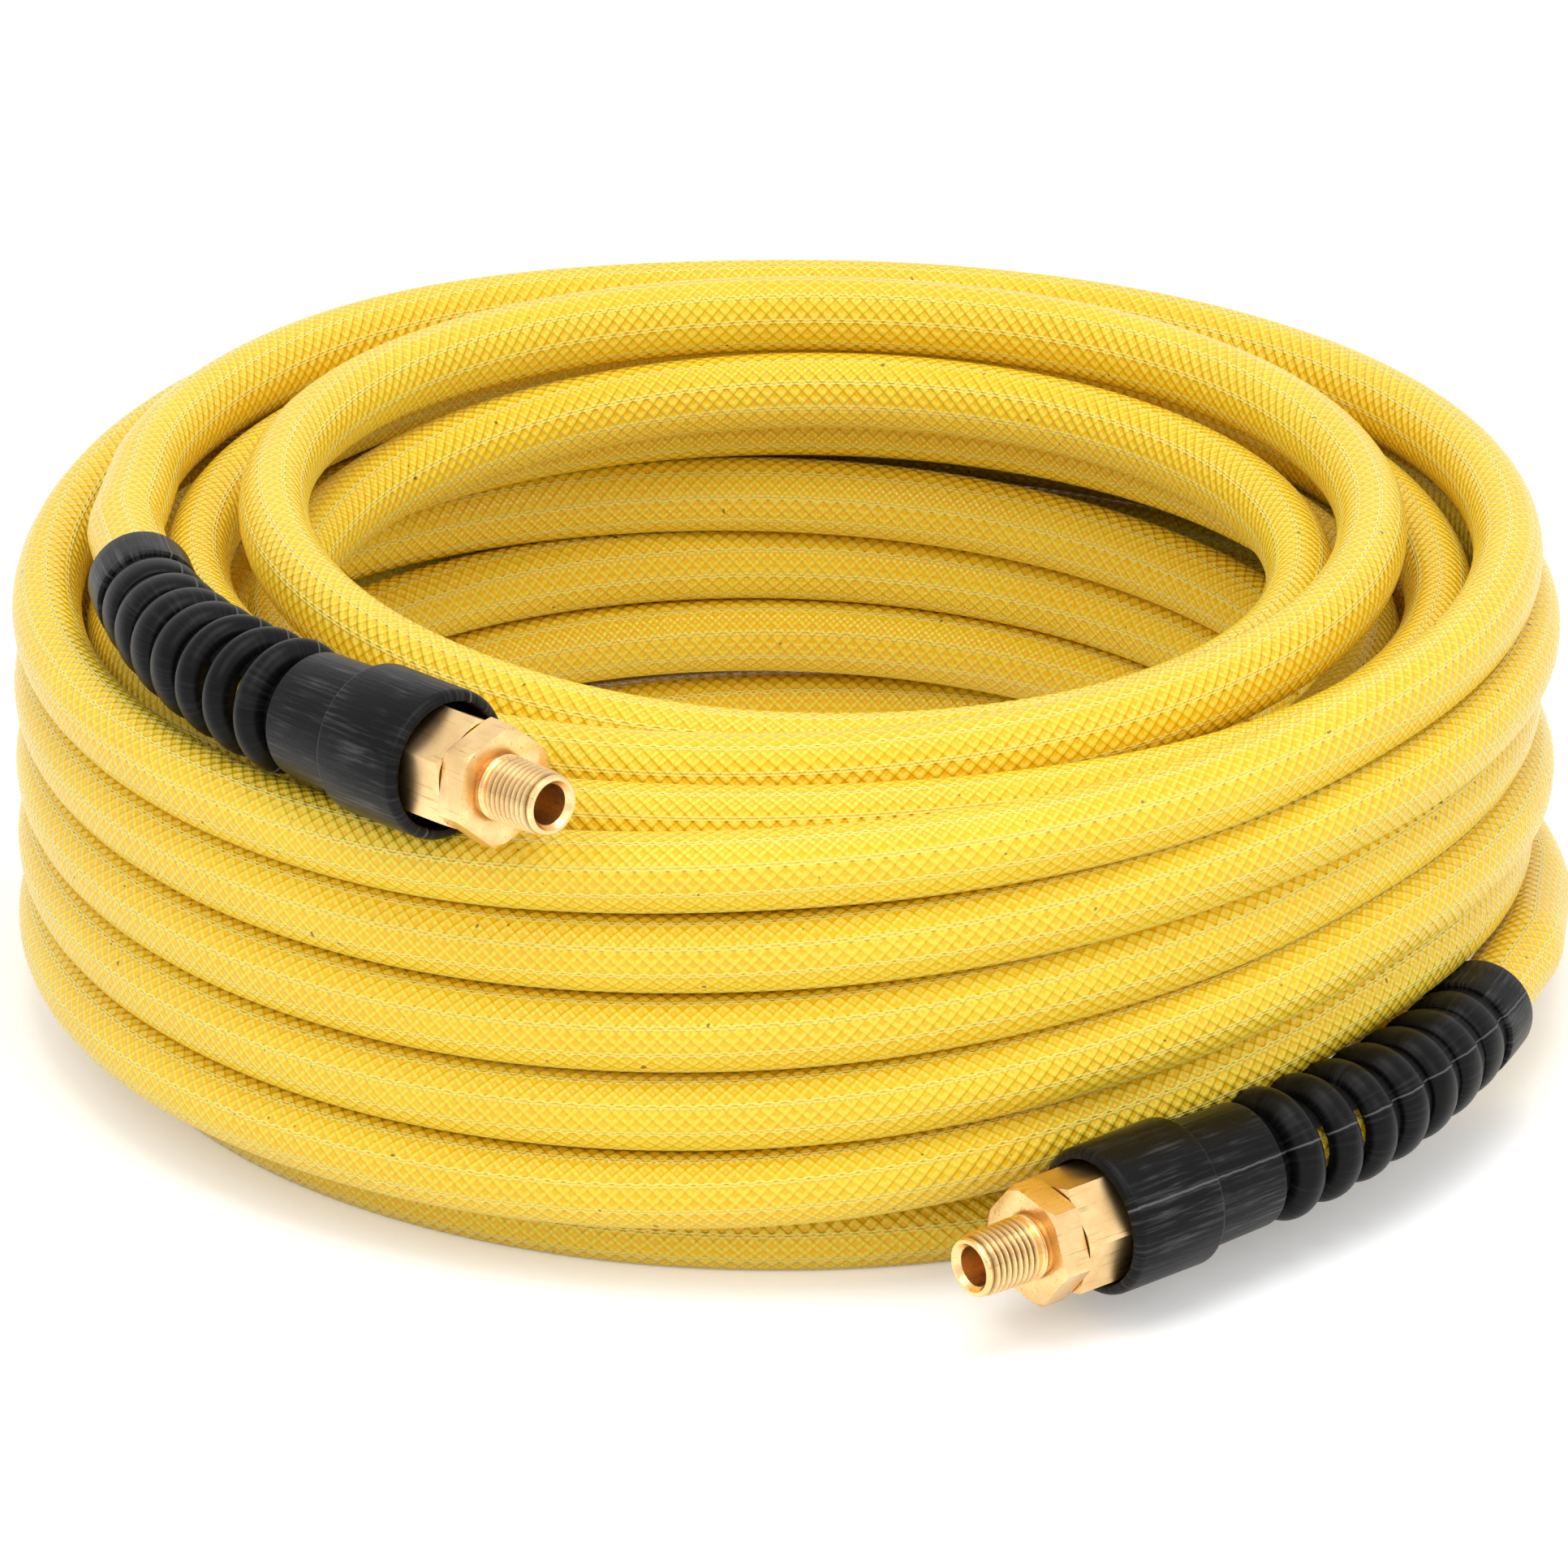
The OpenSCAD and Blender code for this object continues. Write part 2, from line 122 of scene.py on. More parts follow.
@dataclass(frozen=True)
class EndPlace:
    """Where one end lies and how its pieces are turned.

    The face is in the pile's frame. The heading runs back along the hose, the
    droop is its fall towards the rear, and the turns are about the hose, all in
    degrees. The rib spread is what the first ribs are narrower by.
    """

    name: str
    face: tuple[float, float, float]
    heading: float
    droop: float
    bend_radius: float
    bend: Bend
    seam_turn: float
    rib_spread: float
    body_turn: float
    nut_turn: float

    def frame_at(self, s: float) -> tuple[Vector, Vector, Vector, Vector]:
        """Finds the place and the directions on the end's centre line.

        Args:
            s: distance back from the hexagon's front face.

        Returns:
            The point in the pile's frame, and the directions back along the
            hose, to the left of it and up.
        """
        angle = min(max(s - SIZES.bend, 0.0), SIZES.bend_length) / self.bend_radius
        rest = max(s - SIZES.bend - SIZES.bend_length, 0.0)
        x = min(s, SIZES.bend) + self.bend_radius * math.sin(angle) + rest * math.cos(angle)
        y = self.bend_radius * (1 - math.cos(angle)) + rest * math.sin(angle)
        side = self.bend.value
        back = Vector((math.cos(angle), side * math.sin(angle), 0.0))
        left = Vector((-back.y, back.x, 0.0))
        return (
            Vector(self.face) + self._turned(Vector((x, side * y, 0.0))),
            self._turned(back),
            self._turned(left),
            self._turned(Vector((0.0, 0.0, 1.0))),
        )

    def _turned(self, v: Vector) -> Vector:
        """Turns a direction from the end's own axes into the pile's.

        Args:
            v: the direction along the end's own axes.

        Returns:
            The same direction in the pile's frame.
        """
        droop, heading = math.radians(self.droop), math.radians(self.heading)
        x = v.x * math.cos(droop) + v.z * math.sin(droop)
        z = v.z * math.cos(droop) - v.x * math.sin(droop)
        return Vector((x * math.cos(heading) - v.y * math.sin(heading),
                       x * math.sin(heading) + v.y * math.cos(heading), z))


UPPER = EndPlace("upper", (-0.055, -0.158, 0.1133), 132.5, 3.0, 0.154, Bend.RIGHT,
                 seam_turn=118.0, rib_spread=0.0015, body_turn=12.0, nut_turn=0.0)
LOWER = EndPlace("lower", (0.048, -0.1755, 0.0213), 39.0, -0.8, 0.165, Bend.LEFT,
                 seam_turn=-30.0, rib_spread=0.0004, body_turn=40.0, nut_turn=20.0)


@dataclass
class PileRoute:
    """The centre line of the wound hose, in metres.

    Each row holds turns from the left side, clockwise seen from above, then
    the radius and the height of the centre line. The rows of the outer column
    repeat for each of its turns: those of its start and end fall by a step, and
    its side has a radius and three heights for each turn.
    """

    centre: tuple[float, float] = (-0.0025, 0.0135)
    step: float = 0.0171
    front_step: float = 0.0173
    floor: float = 0.0067
    start: tuple = ((0, 0.1365, 0.104), (0.125, 0.1405, 0.102), (0.25, 0.150, 0.0943),
                    (0.5, 0.151, 0.100), (0.6, 0.151, 0.1005), (0.66, 0.1525, 0.098),
                    (0.75, 0.153, 0.0935), (0.84, 0.154, 0.0882), (1, 0.154, 0.088))
    outer_start: tuple = ((1.125, 0.1545, 0.0916), (1.25, 0.154, 0.0776))
    outer_side_at: tuple = (1.5, 1.6, 1.66)
    outer_side: tuple = ((0.155, 0.084, 0.0852, 0.0825), (0.1515, 0.068, 0.070, 0.0663),
                         (0.1545, 0.052, 0.055, 0.0502), (0.1505, 0.036, 0.0396, 0.0338))
    outer_front: tuple = (1.75, 0.153, 0.0759)
    outer_end: tuple = ((1.84, 0.1535, 0.0715), (2, 0.154, 0.0709))
    rising: tuple = ((5.125, 0.1465, 0.026), (5.25, 0.1384, 0.026), (5.5, 0.137, 0.0275),
                     (5.75, 0.138, 0.031), (6, 0.1385, 0.0375), (6.125, 0.139, 0.0432),
                     (6.25, 0.139, 0.043), (6.5, 0.137, 0.0505), (6.625, 0.1375, 0.056),
                     (6.75, 0.133, 0.0625), (6.875, 0.124, 0.0665), (7, 0.1235, 0.070),
                     (7.125, 0.124, 0.075), (7.25, 0.1245, 0.076), (7.5, 0.122, 0.0775),
                     (7.75, 0.117, 0.0805), (8, 0.105, 0.084))
    top_turns: tuple = ((8.25, 0.1095, 0.0885), (8.5, 0.108, 0.092), (8.75, 0.1085, 0.099),
                        (9, 0.1065, 0.107), (9.25, 0.118, 0.103), (9.5, 0.1225, 0.1045),
                        (9.75, 0.1235, 0.101), (10, 0.123, 0.0935), (10.125, 0.1275, 0.092),
                        (10.25, 0.135, 0.089), (10.5, 0.137, 0.088))
    falling: tuple = ((10.75, 0.138, 0.096), (11, 0.1385, 0.082), (11.25, 0.139, 0.0713),
                      (11.5, 0.137, 0.071), (11.75, 0.1385, 0.080), (11.875, 0.139, 0.0715),
                      (12, 0.1385, 0.063), (12.125, 0.1315, 0.060), (12.25, 0.1215, 0.059),
                      (12.5, 0.122, 0.052), (12.75, 0.123, 0.0455), (13, 0.124, 0.0445),
                      (13.25, 0.124, 0.042), (13.5, 0.122, 0.035), (13.75, 0.123, 0.0285),
                      (14, 0.1235, 0.027), (14.25, 0.122, 0.0255), (14.5, 0.122, 0.0185),
                      (14.75, 0.1235, 0.011))
    floor_turn: tuple = ((15, 0.125), (15.25, 0.125), (15.375, 0.132), (15.5, 0.137),
                         (15.75, 0.139), (16, 0.1405), (16.125, 0.148), (16.25, 0.1545))
    way_out: tuple = ((16.375, 0.158, 0.012), (16.5, 0.159, 0.0195))
    rows: list[Row] = field(default_factory=list)

    def __post_init__(self) -> None:
        """Lays the rows of the whole pile end to end."""
        outer = [row for k in range(len(self.outer_side)) for row in self._outer_turn(k)]
        floor = [(turns, radius, self.floor) for turns, radius in self.floor_turn]
        self.rows = [*self.start, *outer, *self.rising, *self.top_turns,
                     *self.falling, *floor, *self.way_out]

    def _outer_turn(self, k: int) -> list[Row]:
        """Lists the rows of one turn of the outer column.

        Args:
            k: how many turns lie above it in the column.

        Returns:
            Its rows, in order.
        """
        radius, low, high, leave = self.outer_side[k]
        low_at, high_at, leave_at = self.outer_side_at
        front_at, front_radius, front_height = self.outer_front
        return [
            *self._fallen(self.outer_start, k),
            (low_at + k, radius, low),
            (high_at + k, radius, high),
            (leave_at + k, (radius + front_radius) / 2, leave),
            (front_at + k, front_radius, front_height - self.front_step * k),
            *self._fallen(self.outer_end, k),
        ]

    def _fallen(self, rows: tuple, k: int) -> list[Row]:
        """Moves rows k turns on and k steps down."""
        return [(at + k, radius, height - self.step * k) for at, radius, height in rows]

    @property
    def turns(self) -> float:
        """Turns in the whole pile."""
        return self.rows[-1][0]

    def _slope(self, i: int) -> Pair:
        """Finds how the radius and the height change at a row.

        Args:
            i: the row's place in the list.

        Returns:
            The change of each in one turn.
        """
        a = self.rows[max(i - 1, 0)]
        b = self.rows[min(i + 1, len(self.rows) - 1)]
        return (b[1] - a[1]) / (b[0] - a[0]), (b[2] - a[2]) / (b[0] - a[0])

    def point(self, u: float) -> Vector:
        """Finds a point of the wound hose.

        Args:
            u: turns from the left side.

        Returns:
            The point in the pile's frame.
        """
        i = min(bisect_right(self.rows, u, key=lambda row: row[0]) - 1, len(self.rows) - 2)
        a, b = self.rows[i], self.rows[i + 1]
        h = b[0] - a[0]
        s = (u - a[0]) / h
        weights = (2 * s**3 - 3 * s**2 + 1, (s**3 - 2 * s**2 + s) * h,
                   3 * s**2 - 2 * s**3, (s**3 - s**2) * h)
        (ra, za), (rb, zb) = self._slope(i), self._slope(i + 1)
        radius = sum(w * v for w, v in zip(weights, (a[1], ra, b[1], rb)))
        height = sum(w * v for w, v in zip(weights, (a[2], za, b[2], zb)))
        angle = math.pi - 2 * math.pi * u
        return Vector((radius * math.cos(angle), radius * math.sin(angle), height))

    def moved(self, p: Vector) -> Vector:
        """Moves a point from the pile's frame to the part's."""
        return p + Vector((*self.centre, 0.0))


# --------------------------------------------------------------- materials


@dataclass(frozen=True)
class Grain:
    """One noise: its grains in a unit, its finer layers and their strength.

    The scale may differ along the three directions.
    """

    scale: float | tuple[float, float, float]
    detail: float = 3.0
    roughness: float = 0.5


class NodeTree:
    """A short way to build the nodes of one material, or of the world."""

    def __init__(self, owner: bpy.types.ID, shader: str = "Principled BSDF") -> None:
        """Turns on the owner's nodes.

        Args:
            owner: the new material or world.
            shader: name of the shader node that it starts with.
        """
        owner.use_nodes = True
        self.owner = owner
        self.nodes, self.links = owner.node_tree.nodes, owner.node_tree.links
        self.shader = self.nodes[shader]

    def shade(self, values: dict[str, object]) -> bpy.types.ID:
        """Feeds the shader's inputs by name and returns the material or world."""
        self.fill(self.shader, values)
        return self.owner

    def add(self, kind: str, **values: object) -> bpy.types.Node:
        """Adds a node.

        Args:
            kind: the node's type name.
            **values: properties to set on it.

        Returns:
            The new node.
        """
        node = self.nodes.new(kind)
        for key, value in values.items():
            setattr(node, key, value)
        return node

    def feed(self, target: Socket, value: object) -> None:
        """Feeds a socket.

        Args:
            target: the input to feed.
            value: an output to link to it, or the value to set.
        """
        if isinstance(value, Socket):
            self.links.new(value, target)
        else:
            target.default_value = value

    def fill(self, node: bpy.types.Node, values: dict[str, object]) -> None:
        """Feeds some of a node's inputs, by name, with sockets or values."""
        for name, value in values.items():
            self.feed(node.inputs[name], value)

    def math(self, operation: str, *values: object) -> Socket:
        """Adds a Math node.

        Args:
            operation: what it does.
            *values: its sockets or numbers.

        Returns:
            Its result.
        """
        node = self.add("ShaderNodeMath", operation=operation)
        for socket, value in zip(node.inputs, values):
            self.feed(socket, value)
        return node.outputs[0]

    def times(self, a: object, b: object) -> Socket:
        """Multiplies two values."""
        return self.math("MULTIPLY", a, b)

    def left_of(self, value: Socket) -> Socket:
        """Gives what a value leaves of 1."""
        return self.math("SUBTRACT", 1.0, value)

    def vary(self, least: float, swing: float, value: Socket) -> Socket:
        """Gives the least value plus the swing times the given one."""
        return self.math("ADD", least, self.times(value, swing))

    def mix(self, share: object, a: object, b: object) -> Socket:
        """Mixes two colours.

        Args:
            share: how much of the second there is.
            a: the first colour.
            b: the second colour.

        Returns:
            The mixed colour.
        """
        node = self.add("ShaderNodeMix", data_type="RGBA")
        colours = [socket for socket in node.inputs if socket.type == "RGBA"]
        for socket, value in zip((node.inputs[0], *colours), (share, a, b)):
            self.feed(socket, value)
        return next(socket for socket in node.outputs if socket.type == "RGBA")

    def ramp(self, value: object, low: float, high: float) -> Socket:
        """Spreads a range of a value over 0 to 1, with soft ends.

        Args:
            value: the value.
            low: where the result leaves 0.
            high: where it reaches 1.

        Returns:
            The result.
        """
        node = self.add("ShaderNodeMapRange", interpolation_type="SMOOTHSTEP")
        for socket, number in zip(node.inputs, (value, low, high)):
            self.feed(socket, number)
        return node.outputs[0]

    def noise(self, place: Socket, grain: Grain) -> Socket:
        """Adds noise.

        Args:
            place: the coordinates.
            grain: what the noise is like.

        Returns:
            Its value, 0 to 1.
        """
        scale = grain.scale
        if isinstance(scale, tuple):
            place, scale = self.mapped(place, "Scale", scale), 1.0
        node = self.add("ShaderNodeTexNoise")
        self.fill(node, {"Vector": place, "Scale": scale, "Detail": grain.detail,
                         "Roughness": grain.roughness})
        return node.outputs[0]

    def mapped(self, place: Socket, change: str, value: tuple[float, float, float]) -> Socket:
        """Turns or stretches coordinates.

        Args:
            place: the coordinates.
            change: Rotation or Scale.
            value: the change along each direction.

        Returns:
            The new coordinates.
        """
        node = self.add("ShaderNodeMapping")
        self.fill(node, {"Vector": place, change: value})
        return node.outputs[0]

    def coordinates(self, kind: str) -> Socket:
        """Gives the Object or UV coordinates."""
        return self.add("ShaderNodeTexCoord").outputs[kind]

    def split(self, place: Socket) -> tuple[Socket, Socket]:
        """Gives the first two parts of coordinates.

        Args:
            place: the coordinates.

        Returns:
            Their X and Y.
        """
        node = self.add("ShaderNodeSeparateXYZ")
        self.feed(node.inputs[0], place)
        return node.outputs[0], node.outputs[1]

    def bump(self, height: object, distance: float, strength: float,
             under: Socket | None = None) -> Socket:
        """Adds a Bump node.

        Args:
            height: the height, 0 to 1.
            distance: what a height of 1 stands for, in metres.
            strength: how much of it shows.
            under: normal of the bumps below it, if there are any.

        Returns:
            Its normal.
        """
        node = self.add("ShaderNodeBump")
        values = {"Height": height, "Distance": distance, "Strength": strength}
        if under is not None:
            values["Normal"] = under
        self.fill(node, values)
        return node.outputs[0]


def new_material(name: str) -> NodeTree:
    """Starts a material with a plain shader."""
    return NodeTree(bpy.data.materials.new(name))


# In the finishes below, an edge is the pair of values between which a mark goes
# from nothing to full, and a bump is a pair of distance and strength.


@dataclass(frozen=True)
class HoseFinish:
    """Clear glossy cover over a yellow braid, with fine paired lines along it and pale streaks of
    painted highlight.
    """

    cell: Colour = (0.92, 0.52, 0.003, 1)
    # Painted highlight: pale streaks along the hose stand in for broad glossy highlights.
    painted_sheen: Colour = (0.94, 0.595, 0.008, 1)
    cloud: Grain = Grain((3.0, 26.0, 1.0), 2.0)
    cloud_edge: Pair = (0.40, 0.75)
    cloud_bump: Pair = (0.0008, 0.35)
    strand: Colour = (0.96, 0.745, 0.062, 1)
    strands_around: int = 16
    strand_lead: float = 0.051
    strand_edge: Pair = (0.13, 0.40)
    strand_share: float = 0.72
    strand_bump: Pair = (0.00040, 0.8)
    # Colour of the paired ridge lines: partly their own paler colour, partly painted highlight on
    # the ridges.
    line: Colour = (0.98, 0.85, 0.24, 1)
    lines_around: int = 9
    line_edge: Pair = (0.38, 0.44)
    dip_edge: Pair = (0.455, 0.495)
    dip_share: float = 0.85
    line_share: float = 0.65
    line_bump: Pair = (0.00014, 0.9)
    speck: Colour = (0.16, 0.08, 0.02, 1)
    specks: Grain = Grain(480.0, 1.0, 0.3)
    speck_edge: Pair = (0.79, 0.82)
    speck_share: float = 0.8
    roughness: float = 0.21
    roughness_swing: float = 0.12
    rough_grain: Grain = Grain((40.0, 700.0, 1.0), 2.0)
    coat: float = 0.20
    coat_roughness: float = 0.11
    refraction: float = 1.5
    specular: float = 0.29
    glow: float = 0.22
    glow_depth: float = 0.0035
    glow_reach: tuple = (1.0, 0.5, 0.06)

    def make(self) -> Material:
        """Builds the material on the hose's own UV, around and along in metres.

        Returns:
            The finished material.
        """
        t = new_material("hose_cover")
        uv = t.coordinates("UV")
        around, along = t.split(uv)
        strands = [self._strand(t, around, along, sign) for sign in (1.0, -1.0)]
        line = self._paired_line(t, around)
        cloud = t.noise(uv, self.cloud)
        specks = t.ramp(t.noise(t.coordinates("Object"), self.specks), *self.speck_edge)
        # Painted highlight: pale streaks are mixed in where the wide noise is high.
        base = t.mix(t.ramp(cloud, *self.cloud_edge), self.cell, self.painted_sheen)
        base = t.mix(t.times(t.math("MAXIMUM", *strands), self.strand_share), base, self.strand)
        # The paired lines are painted paler, partly as painted highlight on the ridges.
        base = t.mix(t.times(line, self.line_share), base, self.line)
        base = t.mix(t.times(specks, self.speck_share), base, self.speck)
        normal = t.bump(t.math("ADD", *strands), *self.strand_bump)
        normal = t.bump(line, *self.line_bump, normal)
        normal = t.bump(cloud, *self.cloud_bump, normal)
        rough = t.vary(self.roughness, self.roughness_swing, t.noise(uv, self.rough_grain))
        return t.shade({
            "Base Color": base,
            "Roughness": rough,
            "Normal": normal,
            "Coat Normal": normal,
            "Coat Weight": self.coat,
            "Coat Roughness": self.coat_roughness,
            "IOR": self.refraction,
            "Specular IOR Level": self.specular,
            "Subsurface Weight": self.glow,
            "Subsurface Scale": self.glow_depth,
            "Subsurface Radius": self.glow_reach,
        })

    def _strand(self, t: NodeTree, around: Socket, along: Socket, sign: float) -> Socket:
        """Marks the yarns that wind one way round.

        Args:
            t: the material's nodes.
            around: share of a turn round the hose.
            along: distance along the hose.
            sign: 1 or -1, for the way that they wind.

        Returns:
            1 on the yarns and 0 between them.
        """
        lead = t.times(along, sign * self.strands_around / self.strand_lead)
        phase = t.math("ADD", t.times(around, self.strands_around), lead)
        return t.ramp(t.math("PINGPONG", phase, 0.5), *self.strand_edge)

    def _paired_line(self, t: NodeTree, around: Socket) -> Socket:
        """Marks the pairs of fine lines along the hose.

        Args:
            t: the material's nodes.
            around: share of a turn round the hose.

        Returns:
            1 on the lines and 0 far from them, with a dip inside each pair.
        """
        place = t.math("PINGPONG", t.times(around, self.lines_around), 0.5)
        dip = t.times(t.ramp(place, *self.dip_edge), self.dip_share)
        return t.times(t.ramp(place, *self.line_edge), t.left_of(dip))


@dataclass(frozen=True)
class BootFinish:
    """Black moulded rubber, its collars rubbed lengthwise, with a parting line."""

    black: Colour = (0.0028, 0.0028, 0.0031, 1)
    rubbed: Colour = (0.078, 0.078, 0.081, 1)
    scratches: Grain = Grain((90.0, 55.0, 1.0), 4.0, 0.62)
    scratch_edge: Pair = (0.46, 0.70)
    scratch_bump: Pair = (0.00030, 0.6)
    patches: Grain = Grain(75.0)
    patch_edge: Pair = (0.32, 0.70)
    pores: Grain = Grain(1300.0, 2.0)
    pore_bump: Pair = (0.00006, 0.5)
    rib_share: float = 0.22
    collar_blend: float = 0.001
    flash: Colour = (0.10, 0.10, 0.103, 1)
    seams: int = 2
    seam_width: float = 0.0055
    seam_core: float = 0.25
    seam_bump: Pair = (0.0009, 0.9)
    waver: Grain = Grain(420.0, 2.0)
    waver_reach: float = 0.006
    roughness: float = 0.28
    roughness_swing: float = 0.16
    specular: float = 0.13

    def make(self) -> Material:
        """Builds the material on the boot's own UV, around and along in metres.

        Returns:
            The finished material.
        """
        t = new_material("boot_rubber")
        uv, place = t.coordinates("UV"), t.coordinates("Object")
        around, along = t.split(uv)
        scratches, patches = t.noise(uv, self.scratches), t.noise(place, self.patches)
        seam, collars = self._seam(t, around, place), self._collars(t, along)
        rub = t.times(t.ramp(scratches, *self.scratch_edge), t.ramp(patches, *self.patch_edge))
        base = t.mix(t.times(rub, collars), self.black, self.rubbed)
        normal = t.bump(t.times(scratches, collars), *self.scratch_bump)
        normal = t.bump(t.noise(place, self.pores), *self.pore_bump, normal)
        normal = t.bump(seam, *self.seam_bump, normal)
        return t.shade({
            "Base Color": t.mix(seam, base, self.flash),
            "Roughness": t.vary(self.roughness, self.roughness_swing, patches),
            "Normal": normal,
            "Specular IOR Level": self.specular,
        })

    def _collars(self, t: NodeTree, along: Socket) -> Socket:
        """Marks the parts that rub against things.

        Args:
            t: the material's nodes.
            along: distance back along the boot.

        Returns:
            1 on the collars and the sleeve, and a small share on the ribs.
        """
        collar = SIZES.rear - SIZES.rear_length
        ribs = t.ramp(along, SIZES.bend - self.collar_blend, SIZES.bend + self.collar_blend)
        rear = t.ramp(along, collar, collar + 2 * self.collar_blend)
        return t.math("MAXIMUM", t.math("MAXIMUM", t.left_of(ribs), rear), self.rib_share)

    def _seam(self, t: NodeTree, around: Socket, place: Socket) -> Socket:
        """Marks the parting lines, which waver a little.

        Args:
            t: the material's nodes.
            around: share of a turn round the boot.
            place: the object coordinates.

        Returns:
            1 on the lines and 0 elsewhere.
        """
        waver = t.math("SUBTRACT", t.noise(place, self.waver), 0.5)
        wavering = t.math("ADD", around, t.times(waver, self.waver_reach))
        off = t.math("PINGPONG", wavering, 0.5 / self.seams)
        return t.left_of(t.ramp(off, self.seam_width * self.seam_core, self.seam_width))


@dataclass(frozen=True)
class BrassFinish:
    """Turned and milled brass with cutter marks, a little dulled by handling, and painted shade
    in the thread roots.
    """

    name: str
    heading: float
    bright: Colour = (0.95, 0.67, 0.32, 1)
    dull: Colour = (0.86, 0.56, 0.25, 1)
    cloud: Grain = Grain(160.0, 4.0, 0.6)
    cloud_edge: Pair = (0.38, 0.68)
    mark: Colour = (0.46, 0.27, 0.10, 1)
    streaks: Grain = Grain((110.0, 1500.0, 1500.0), 3.0, 0.6)
    streak_edge: Pair = (0.57, 0.72)
    streak_share: float = 0.62
    streak_bump: Pair = (0.00005, 0.5)
    pits: Grain = Grain(1400.0, 2.0)
    pit_bump: Pair = (0.00003, 0.4)
    # Painted shade: dark brown laid into the pipe thread's roots, where shade falls.
    root_shade: Colour = (0.16, 0.075, 0.025, 1)
    root_shade_share: float = 0.85
    roughness: float = 0.18
    roughness_swing: float = 0.2

    def make(self) -> Material:
        """Builds the material on object coordinates, turned along the fitting.

        Returns:
            The finished material.
        """
        t = new_material(self.name)
        place = t.coordinates("Object")
        lined_up = t.mapped(place, "Rotation", (0, 0, math.radians(-self.heading)))
        cloud, streaks = t.noise(place, self.cloud), t.noise(lined_up, self.streaks)
        marks = t.times(t.ramp(streaks, *self.streak_edge), self.streak_share)
        # Painted shade: the thread roots darken with their depth.
        depth = t.add("ShaderNodeAttribute", attribute_name=DEPTH_MARK).outputs["Fac"]
        base = t.mix(t.ramp(cloud, *self.cloud_edge), self.bright, self.dull)
        base = t.mix(marks, base, self.mark)
        base = t.mix(t.times(depth, self.root_shade_share), base, self.root_shade)
        normal = t.bump(streaks, *self.streak_bump)
        normal = t.bump(t.noise(place, self.pits), *self.pit_bump, normal)
        return t.shade({
            "Base Color": base,
            "Roughness": t.vary(self.roughness, self.roughness_swing, cloud),
            "Normal": normal,
            "Metallic": 1.0,
        })


@dataclass(frozen=True)
class LayerFinish:
    """One of the hose's inner layers, of two tones."""

    name: str
    grain: Grain
    low: Colour
    high: Colour
    bump: Pair
    roughness: float
    edge: Pair | None = None

    def make(self) -> Material:
        """Builds the material on object coordinates.

        Returns:
            The finished material.
        """
        t = new_material(self.name)
        cloud = t.noise(t.coordinates("Object"), self.grain)
        share = cloud if self.edge is None else t.ramp(cloud, *self.edge)
        return t.shade({
            "Base Color": t.mix(share, self.low, self.high),
            "Normal": t.bump(cloud, *self.bump),
            "Roughness": self.roughness,
        })


# Woven yarn, seen only at its cut end, and a smooth dark liner.
YARN = LayerFinish("braid_yarn", Grain((900.0, 900.0, 2400.0)), (0.35, 0.22, 0.08, 1),
                   (0.80, 0.66, 0.36, 1), (0.00015, 0.7), 0.8, (0.4, 0.6))
LINER = LayerFinish("liner", Grain(300.0), (0.05, 0.045, 0.04, 1),
                    (0.09, 0.085, 0.08, 1), (0.0001, 0.4), 0.5)


# ------------------------------------------------------------------ pieces


def clear_selection() -> None:
    """Leaves edit mode and deselects everything."""
    if bpy.context.object is not None and bpy.context.object.mode != "OBJECT":
        bpy.ops.object.mode_set(mode="OBJECT")
    bpy.ops.object.select_all(action="DESELECT")


def select_only(*pieces: Piece) -> None:
    """Selects pieces alone.

    Args:
        *pieces: what to select; the last one becomes active.
    """
    clear_selection()
    for piece in pieces:
        piece.select_set(True)
    bpy.context.view_layer.objects.active = pieces[-1]


def dress(piece: Piece, material: Material) -> None:
    """Gives a piece one material all over."""
    piece.data.materials.clear()
    piece.data.materials.append(material)


def mark_uv(mesh: bpy.types.Mesh, around_along: list[Pair]) -> None:
    """Writes a UV map from a place around and along for each vertex.

    Args:
        mesh: the mesh, whose faces go round its axis.
        around_along: for each vertex, its share of a turn and its distance.
    """
    while mesh.uv_layers:
        mesh.uv_layers.remove(mesh.uv_layers[0])
    layer = mesh.uv_layers.new(name="around_along")
    for face in mesh.polygons:
        shares = [around_along[mesh.loops[i].vertex_index][0] for i in face.loop_indices]
        top = max(shares)
        for i, share in zip(face.loop_indices, shares):
            along = around_along[mesh.loops[i].vertex_index][1]
            layer.data[i].uv = (share + 1.0 if top - share > 0.5 else share, along)


def turned_solid(name: str, outline: Outline, segments: int, filled: bool = False) -> Piece:
    """Draws a turned solid along +X out of one circle, ring by ring.

    Args:
        name: name of the piece.
        outline: its outline, as (distance along X, radius); closed unless filled.
        segments: sides of each ring.
        filled: whether the solid has no hole, and a flat face at each end.

    Returns:
        The closed solid.
    """
    clear_selection()
    x, r = outline[0]
    bpy.ops.mesh.primitive_circle_add(
        vertices=segments, radius=r, fill_type="NGON" if filled else "NOTHING",
        location=(x, 0, 0), rotation=(0, math.pi / 2, 0))
    piece = bpy.context.object
    piece.name = piece.data.name = name
    bpy.ops.object.transform_apply(location=True, rotation=True, scale=True)
    bpy.ops.object.mode_set(mode="EDIT")
    bpy.ops.mesh.select_all(action="SELECT")
    for new_x, new_r in outline[1:] if filled else [*outline[1:], outline[0]]:
        bpy.ops.mesh.extrude_region_move(TRANSFORM_OT_translate={"value": (new_x - x, 0, 0)})
        grow = new_r / r
        bpy.ops.transform.resize(value=(1, grow, grow), center_override=(new_x, 0, 0))
        x, r = new_x, new_r
    bpy.ops.mesh.select_all(action="SELECT")
    bpy.ops.mesh.remove_doubles(threshold=SAME_PLACE)
    bpy.ops.mesh.normals_make_consistent(inside=False)
    bpy.ops.object.mode_set(mode="OBJECT")
    return piece


